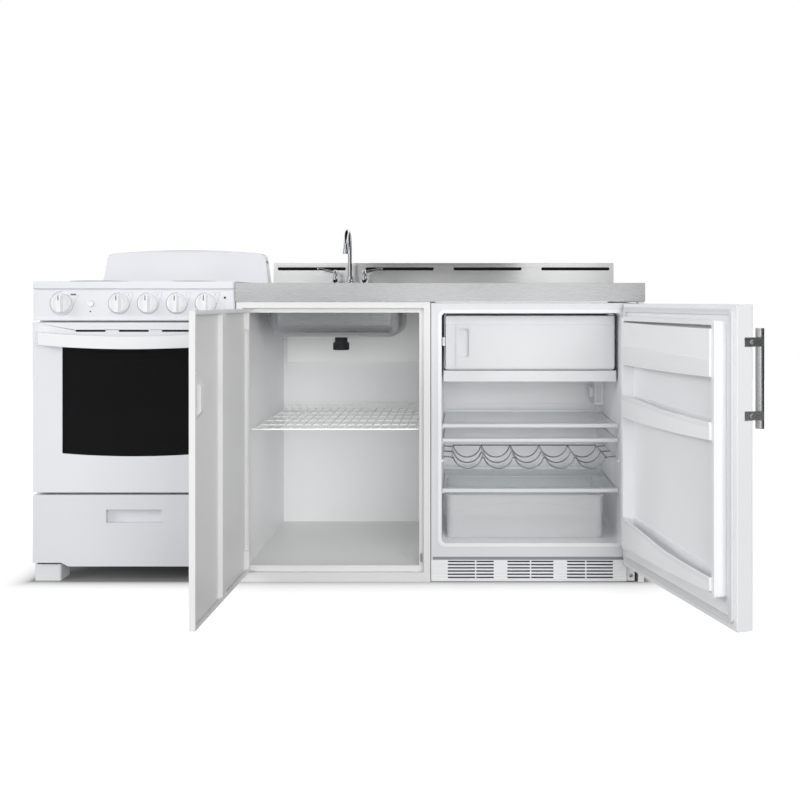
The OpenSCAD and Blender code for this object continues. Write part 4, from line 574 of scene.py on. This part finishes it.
# ---------------------------------------------------------------------------------- worktop fittings
def splash_vent_shade(finish):
    """Painted shade: dark strips behind the backsplash's vent slots, so that the slots read as shaded."""
    slots, slot_w, gap, slot_z = 4, 245, 71, 954
    margin, half_h, corner = 6, 9, 5
    front, back = 595.8, 596.6
    start = (COUNTER_W - slots * slot_w - (slots - 1) * gap) / 2
    mesh = bmesh.new()
    for i in range(slots):
        x = start + i * (slot_w + gap)
        outline = rounded(x - margin, x + slot_w + margin, slot_z - half_h, slot_z + half_h, corner)
        plate(mesh, outline, front, back)
    add_piece("splash_vent_shade", mesh, COUNTER, "fixed_unit", finish)


# ----------------------------------------------------------------------------- refrigerator fittings
def grille_shade_sheet(finish):
    """Painted shade: a dark sheet behind the kick grille's louvres so that their slots read as shaded,
    with a fold along its top and bottom.
    """
    x0, x1, y0, y1, z0, z1, sheet = 36, 562, 8, 16, 8, 60, 1
    section = [(y1, z0), (y0, z0), (y0, z1), (y1, z1),
               (y1, z1 - sheet), (y0 + sheet, z1 - sheet), (y0 + sheet, z0 + sheet), (y1, z0 + sheet)]
    mesh = bmesh.new()
    bar(mesh, section, x0, x1)
    add_piece("grille_shade_sheet", mesh, FRIDGE, "fixed_unit", finish)


def grille_ribs(finish):
    """Fine ribs across the kick grille, between the rows of its louvres."""
    rows, pitch, first_z = 6, 9.55, 13.4
    x0, x1, rise, foot, half = 3, 581, 0.8, 0.05, 1.5
    mesh = bmesh.new()
    for row in range(rows):
        z = first_z + (row - 0.5) * pitch
        section = [(foot, z - half), (-0.7 * rise, z - 0.6 * half), (-rise, z),
                   (-0.7 * rise, z + 0.6 * half), (foot, z + half)]
        bar(mesh, section, x0, x1)
    add_piece("grille_ribs", mesh, FRIDGE, "fixed_unit", finish)


def grille_shadow_strip(finish):
    """Painted shadow: a grey strip between the refrigerator's frame and the kick grille, where the frame
    shades the grille's top.
    """
    x0, x1, z0, z1, corner = 5, 583, 66.6, 75.5, 1.5
    front, back = -0.3, 0.05
    mesh = bmesh.new()
    plate(mesh, rounded(x0, x1, z0, z1, corner), front, back)
    add_piece("grille_shadow_strip", mesh, FRIDGE, "fixed_unit", finish)


def freezer_skin(finish):
    """Moulded face of the freezer door: a lip under its top band, an end cap and a hole for the grip."""
    x0, x1, back = 43.2, 553.9, 54.9
    cap_x, seam = 73.0, 0.5
    grip_x0, grip_x1, grip_z0, grip_z1 = 81.0, 114.2, 667.5, 755.5
    levels = [(632.0, back), (632.6, 53.4), (634.5, 52.2), (638.0, 51.6), (763.0, 51.6), (765.0, 51.1),
              (767.0, 51.5), (768.5, 53.4), (771.0, 54.0), (792.0, 54.3), (793.2, back)]
    foot, top = levels[0][0], levels[-1][0]

    def depth(z):
        for (za, ya), (zb, yb) in zip(levels, levels[1:]):
            if za <= z <= zb:
                return ya + (yb - ya) * (z - za) / (zb - za)
        return back

    def panel(mesh, left, right, low=foot, high=top):
        between = [(y, z) for z, y in levels if low < z < high]
        section = [(back, low), (depth(low), low), *between, (depth(high), high), (back, high)]
        bar(mesh, section, left, right)

    mesh = bmesh.new()
    panel(mesh, x0, cap_x - seam)
    panel(mesh, cap_x + seam, grip_x0)
    panel(mesh, grip_x0, grip_x1, high=grip_z0)
    panel(mesh, grip_x0, grip_x1, low=grip_z1)
    panel(mesh, grip_x1, x1)
    add_piece("freezer_skin", mesh, FRIDGE, "freezer_door", finish)


def fridge_screws(finish):
    """Cross-head screws in the bar handle's brackets and in the lower hinge bracket."""
    handle_z, bracket_z = 655, 87.5
    mesh = bmesh.new()
    for z in (handle_z - bracket_z, handle_z + bracket_z):
        screw_head(mesh, (-1.8, -48, z), out=(-1, 0, 0), radius=5.8, height=2.4)
    add_piece("handle_screws", mesh, FRIDGE_DOOR, "fridge_door", finish)
    mesh = bmesh.new()
    screw_head(mesh, (HINGE[0], -2.4, 20), out=(0, -1, 0), radius=5.6, height=2.2)
    add_piece("hinge_screw", mesh, FRIDGE, "fixed_unit", finish)


def door_gasket(finish):
    """Magnetic gasket: a soft bellows with a grooved face, run round the refrigerator door."""
    x0, x1, z0, z1, corner = 12, 602, 72, 821, 17
    section = [(0, -10), (0, -8.2), (1.6, -7.2), (0.4, -6.0), (0.4, -3.0), (1.4, -2.0), (5.2, -2.0),
               (6.0, -2.7), (9.0, -2.7), (9.8, -2.0), (13.6, -2.0), (14.6, -3.0), (14.6, -6.0),
               (13.4, -7.2), (15, -8.2), (15, -10)]
    rings = []
    for inset, y in section:
        outline = rounded(x0 + inset, x1 - inset, z0 + inset, z1 - inset, max(corner - inset, 1.0), 8)
        rings.append([(x, y, z) for x, z in outline])
    mesh = bmesh.new()
    loft(mesh, rings + rings[:1], caps=False)
    gasket = add_piece("bellows_gasket", mesh, FRIDGE_DOOR, "fridge_door", finish)
    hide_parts("door_gasket")


BIN_X0, BIN_X1 = 57.3, 541.7
BIN_FRONT = 46                     # depth of the bins' front at its middle, which bows out
BIN_BOW = 16
PROUD, LET_IN = 0.9, 0.4           # how far a bin's moulding stands out of its front, and reaches in


def bin_front(x):
    """Depth of the bowed front of a door bin at x."""
    half = (BIN_X1 - BIN_X0) / 2
    radius = half ** 2 / (2 * BIN_BOW) + BIN_BOW / 2
    return BIN_FRONT - radius + math.sqrt(radius ** 2 - (x - BIN_X0 - half) ** 2)


def bin_band(t, y, z0):
    """Section of the band along the foot of the upper bin, a share t along from its hinge side."""
    top = z0 + 54 - 4 * t - 13 * max(0.0, t - 0.35) ** 1.2
    return [(y - LET_IN, z0 + 3), (y + PROUD, z0 + 4.2), (y + PROUD, top - 1.4), (y - LET_IN, top)]


def bin_lip(t, y, z0, hinge_h, free_h):
    """Section of a lower bin's lip: its top goes down in a wave from the hinge side to the free side."""
    start, run, lift, inside = 0.12, 0.82, 0.6, 2.8
    u = min(1.0, max(0.0, (t - start) / run))
    wave = u * u * (3 - 2 * u)
    rim = z0 + hinge_h + (free_h - hinge_h) * t
    top = max(rim, z0 + hinge_h + (free_h - hinge_h) * wave) + lift
    return [(y - inside, rim - 3), (y - inside, top - 0.6), (y - 2.2, top), (y + 0.2, top),
            (y + PROUD, top - 0.8), (y + PROUD, top - 12), (y - LET_IN, top - 13.2)]


def bin_mouldings(finish):
    """The wavy lips of the two lower door bins and the band along the foot of the upper one."""
    steps, end = 40, 0.4
    bins = [(bin_lip, (142, 73, 33)), (bin_lip, (505, 63, 43)), (bin_band, (657,))]
    mesh = bmesh.new()
    for section, sizes in bins:
        rings = []
        for i in range(steps + 1):
            t = i / steps
            x = BIN_X1 - end - (BIN_X1 - BIN_X0 - 2 * end) * t
            rings.append([(x, y, z) for y, z in section(t, bin_front(x), *sizes)])
        loft(mesh, rings)
    add_piece("bin_mouldings", mesh, FRIDGE_DOOR, "fridge_door", finish)


# ------------------------------------------------------------------------------------------ CAD nodes
# Edge radii in millimetres
EDGES = {
    "range_cooktop": 0.8,
    "range_backguard": 1.5,
    "oven_door_frame": 0.8,
    "drawer_front": 1.2,
    "levelling_feet": 0.5,
    "countertop": 0.5,
    "backsplash": 0.5,
    "cabinet_frame": 0.6,
    "cabinet_door": 0.5,
    "fridge_cabinet": 0.6,
    "kick_grille": 0.4,
    "thermostat": 0.8,
    "end_panel": 0.6,
}


def soften(obj, width):
    """Rounds a CAD node's hard edges by a small radius, with modifiers only."""
    hard_edge = 30                     # degrees between its faces
    weld = obj.modifiers.new("weld", "WELD")
    weld.merge_threshold = 10 * MICRON
    bevel = obj.modifiers.new("edges", "BEVEL")
    bevel.width = width * MM
    bevel.segments = 2
    bevel.limit_method = "ANGLE"
    bevel.angle_limit = math.radians(hard_edge)
    bevel.use_clamp_overlap = False
    bevel.miter_outer = "MITER_ARC"
    normals = obj.modifiers.new("normals", "WEIGHTED_NORMAL")
    normals.keep_sharp = False


bpy.context.scene.view_settings.view_transform = "Standard"
add_camera()
finishes = make_materials()
dress_nodes(finishes)
for node_name, edge in EDGES.items():
    soften(NODES[node_name], edge)
panel_print(finishes["print"])
knob_marks(finishes["print"])
window_border(finishes["black_frit_and_shade"])
# painted shade behind the backsplash's vents
splash_vent_shade(finishes["black_frit_and_shade"])
# painted shade behind the kick grille's louvres
grille_shade_sheet(finishes["shade_sheet_grey"])
grille_ribs(finishes["liner_white_and_painted_light"])
# painted shadow along the top of the kick grille
grille_shadow_strip(finishes["shadow_strip_grey"])
freezer_skin(finishes["fridge_plastic"])
fridge_screws(finishes["zinc"])
door_gasket(finishes["gasket"])
bin_mouldings(finishes["white_plastic"])
add_world()
add_floor()
add_lamps()
add_cards()
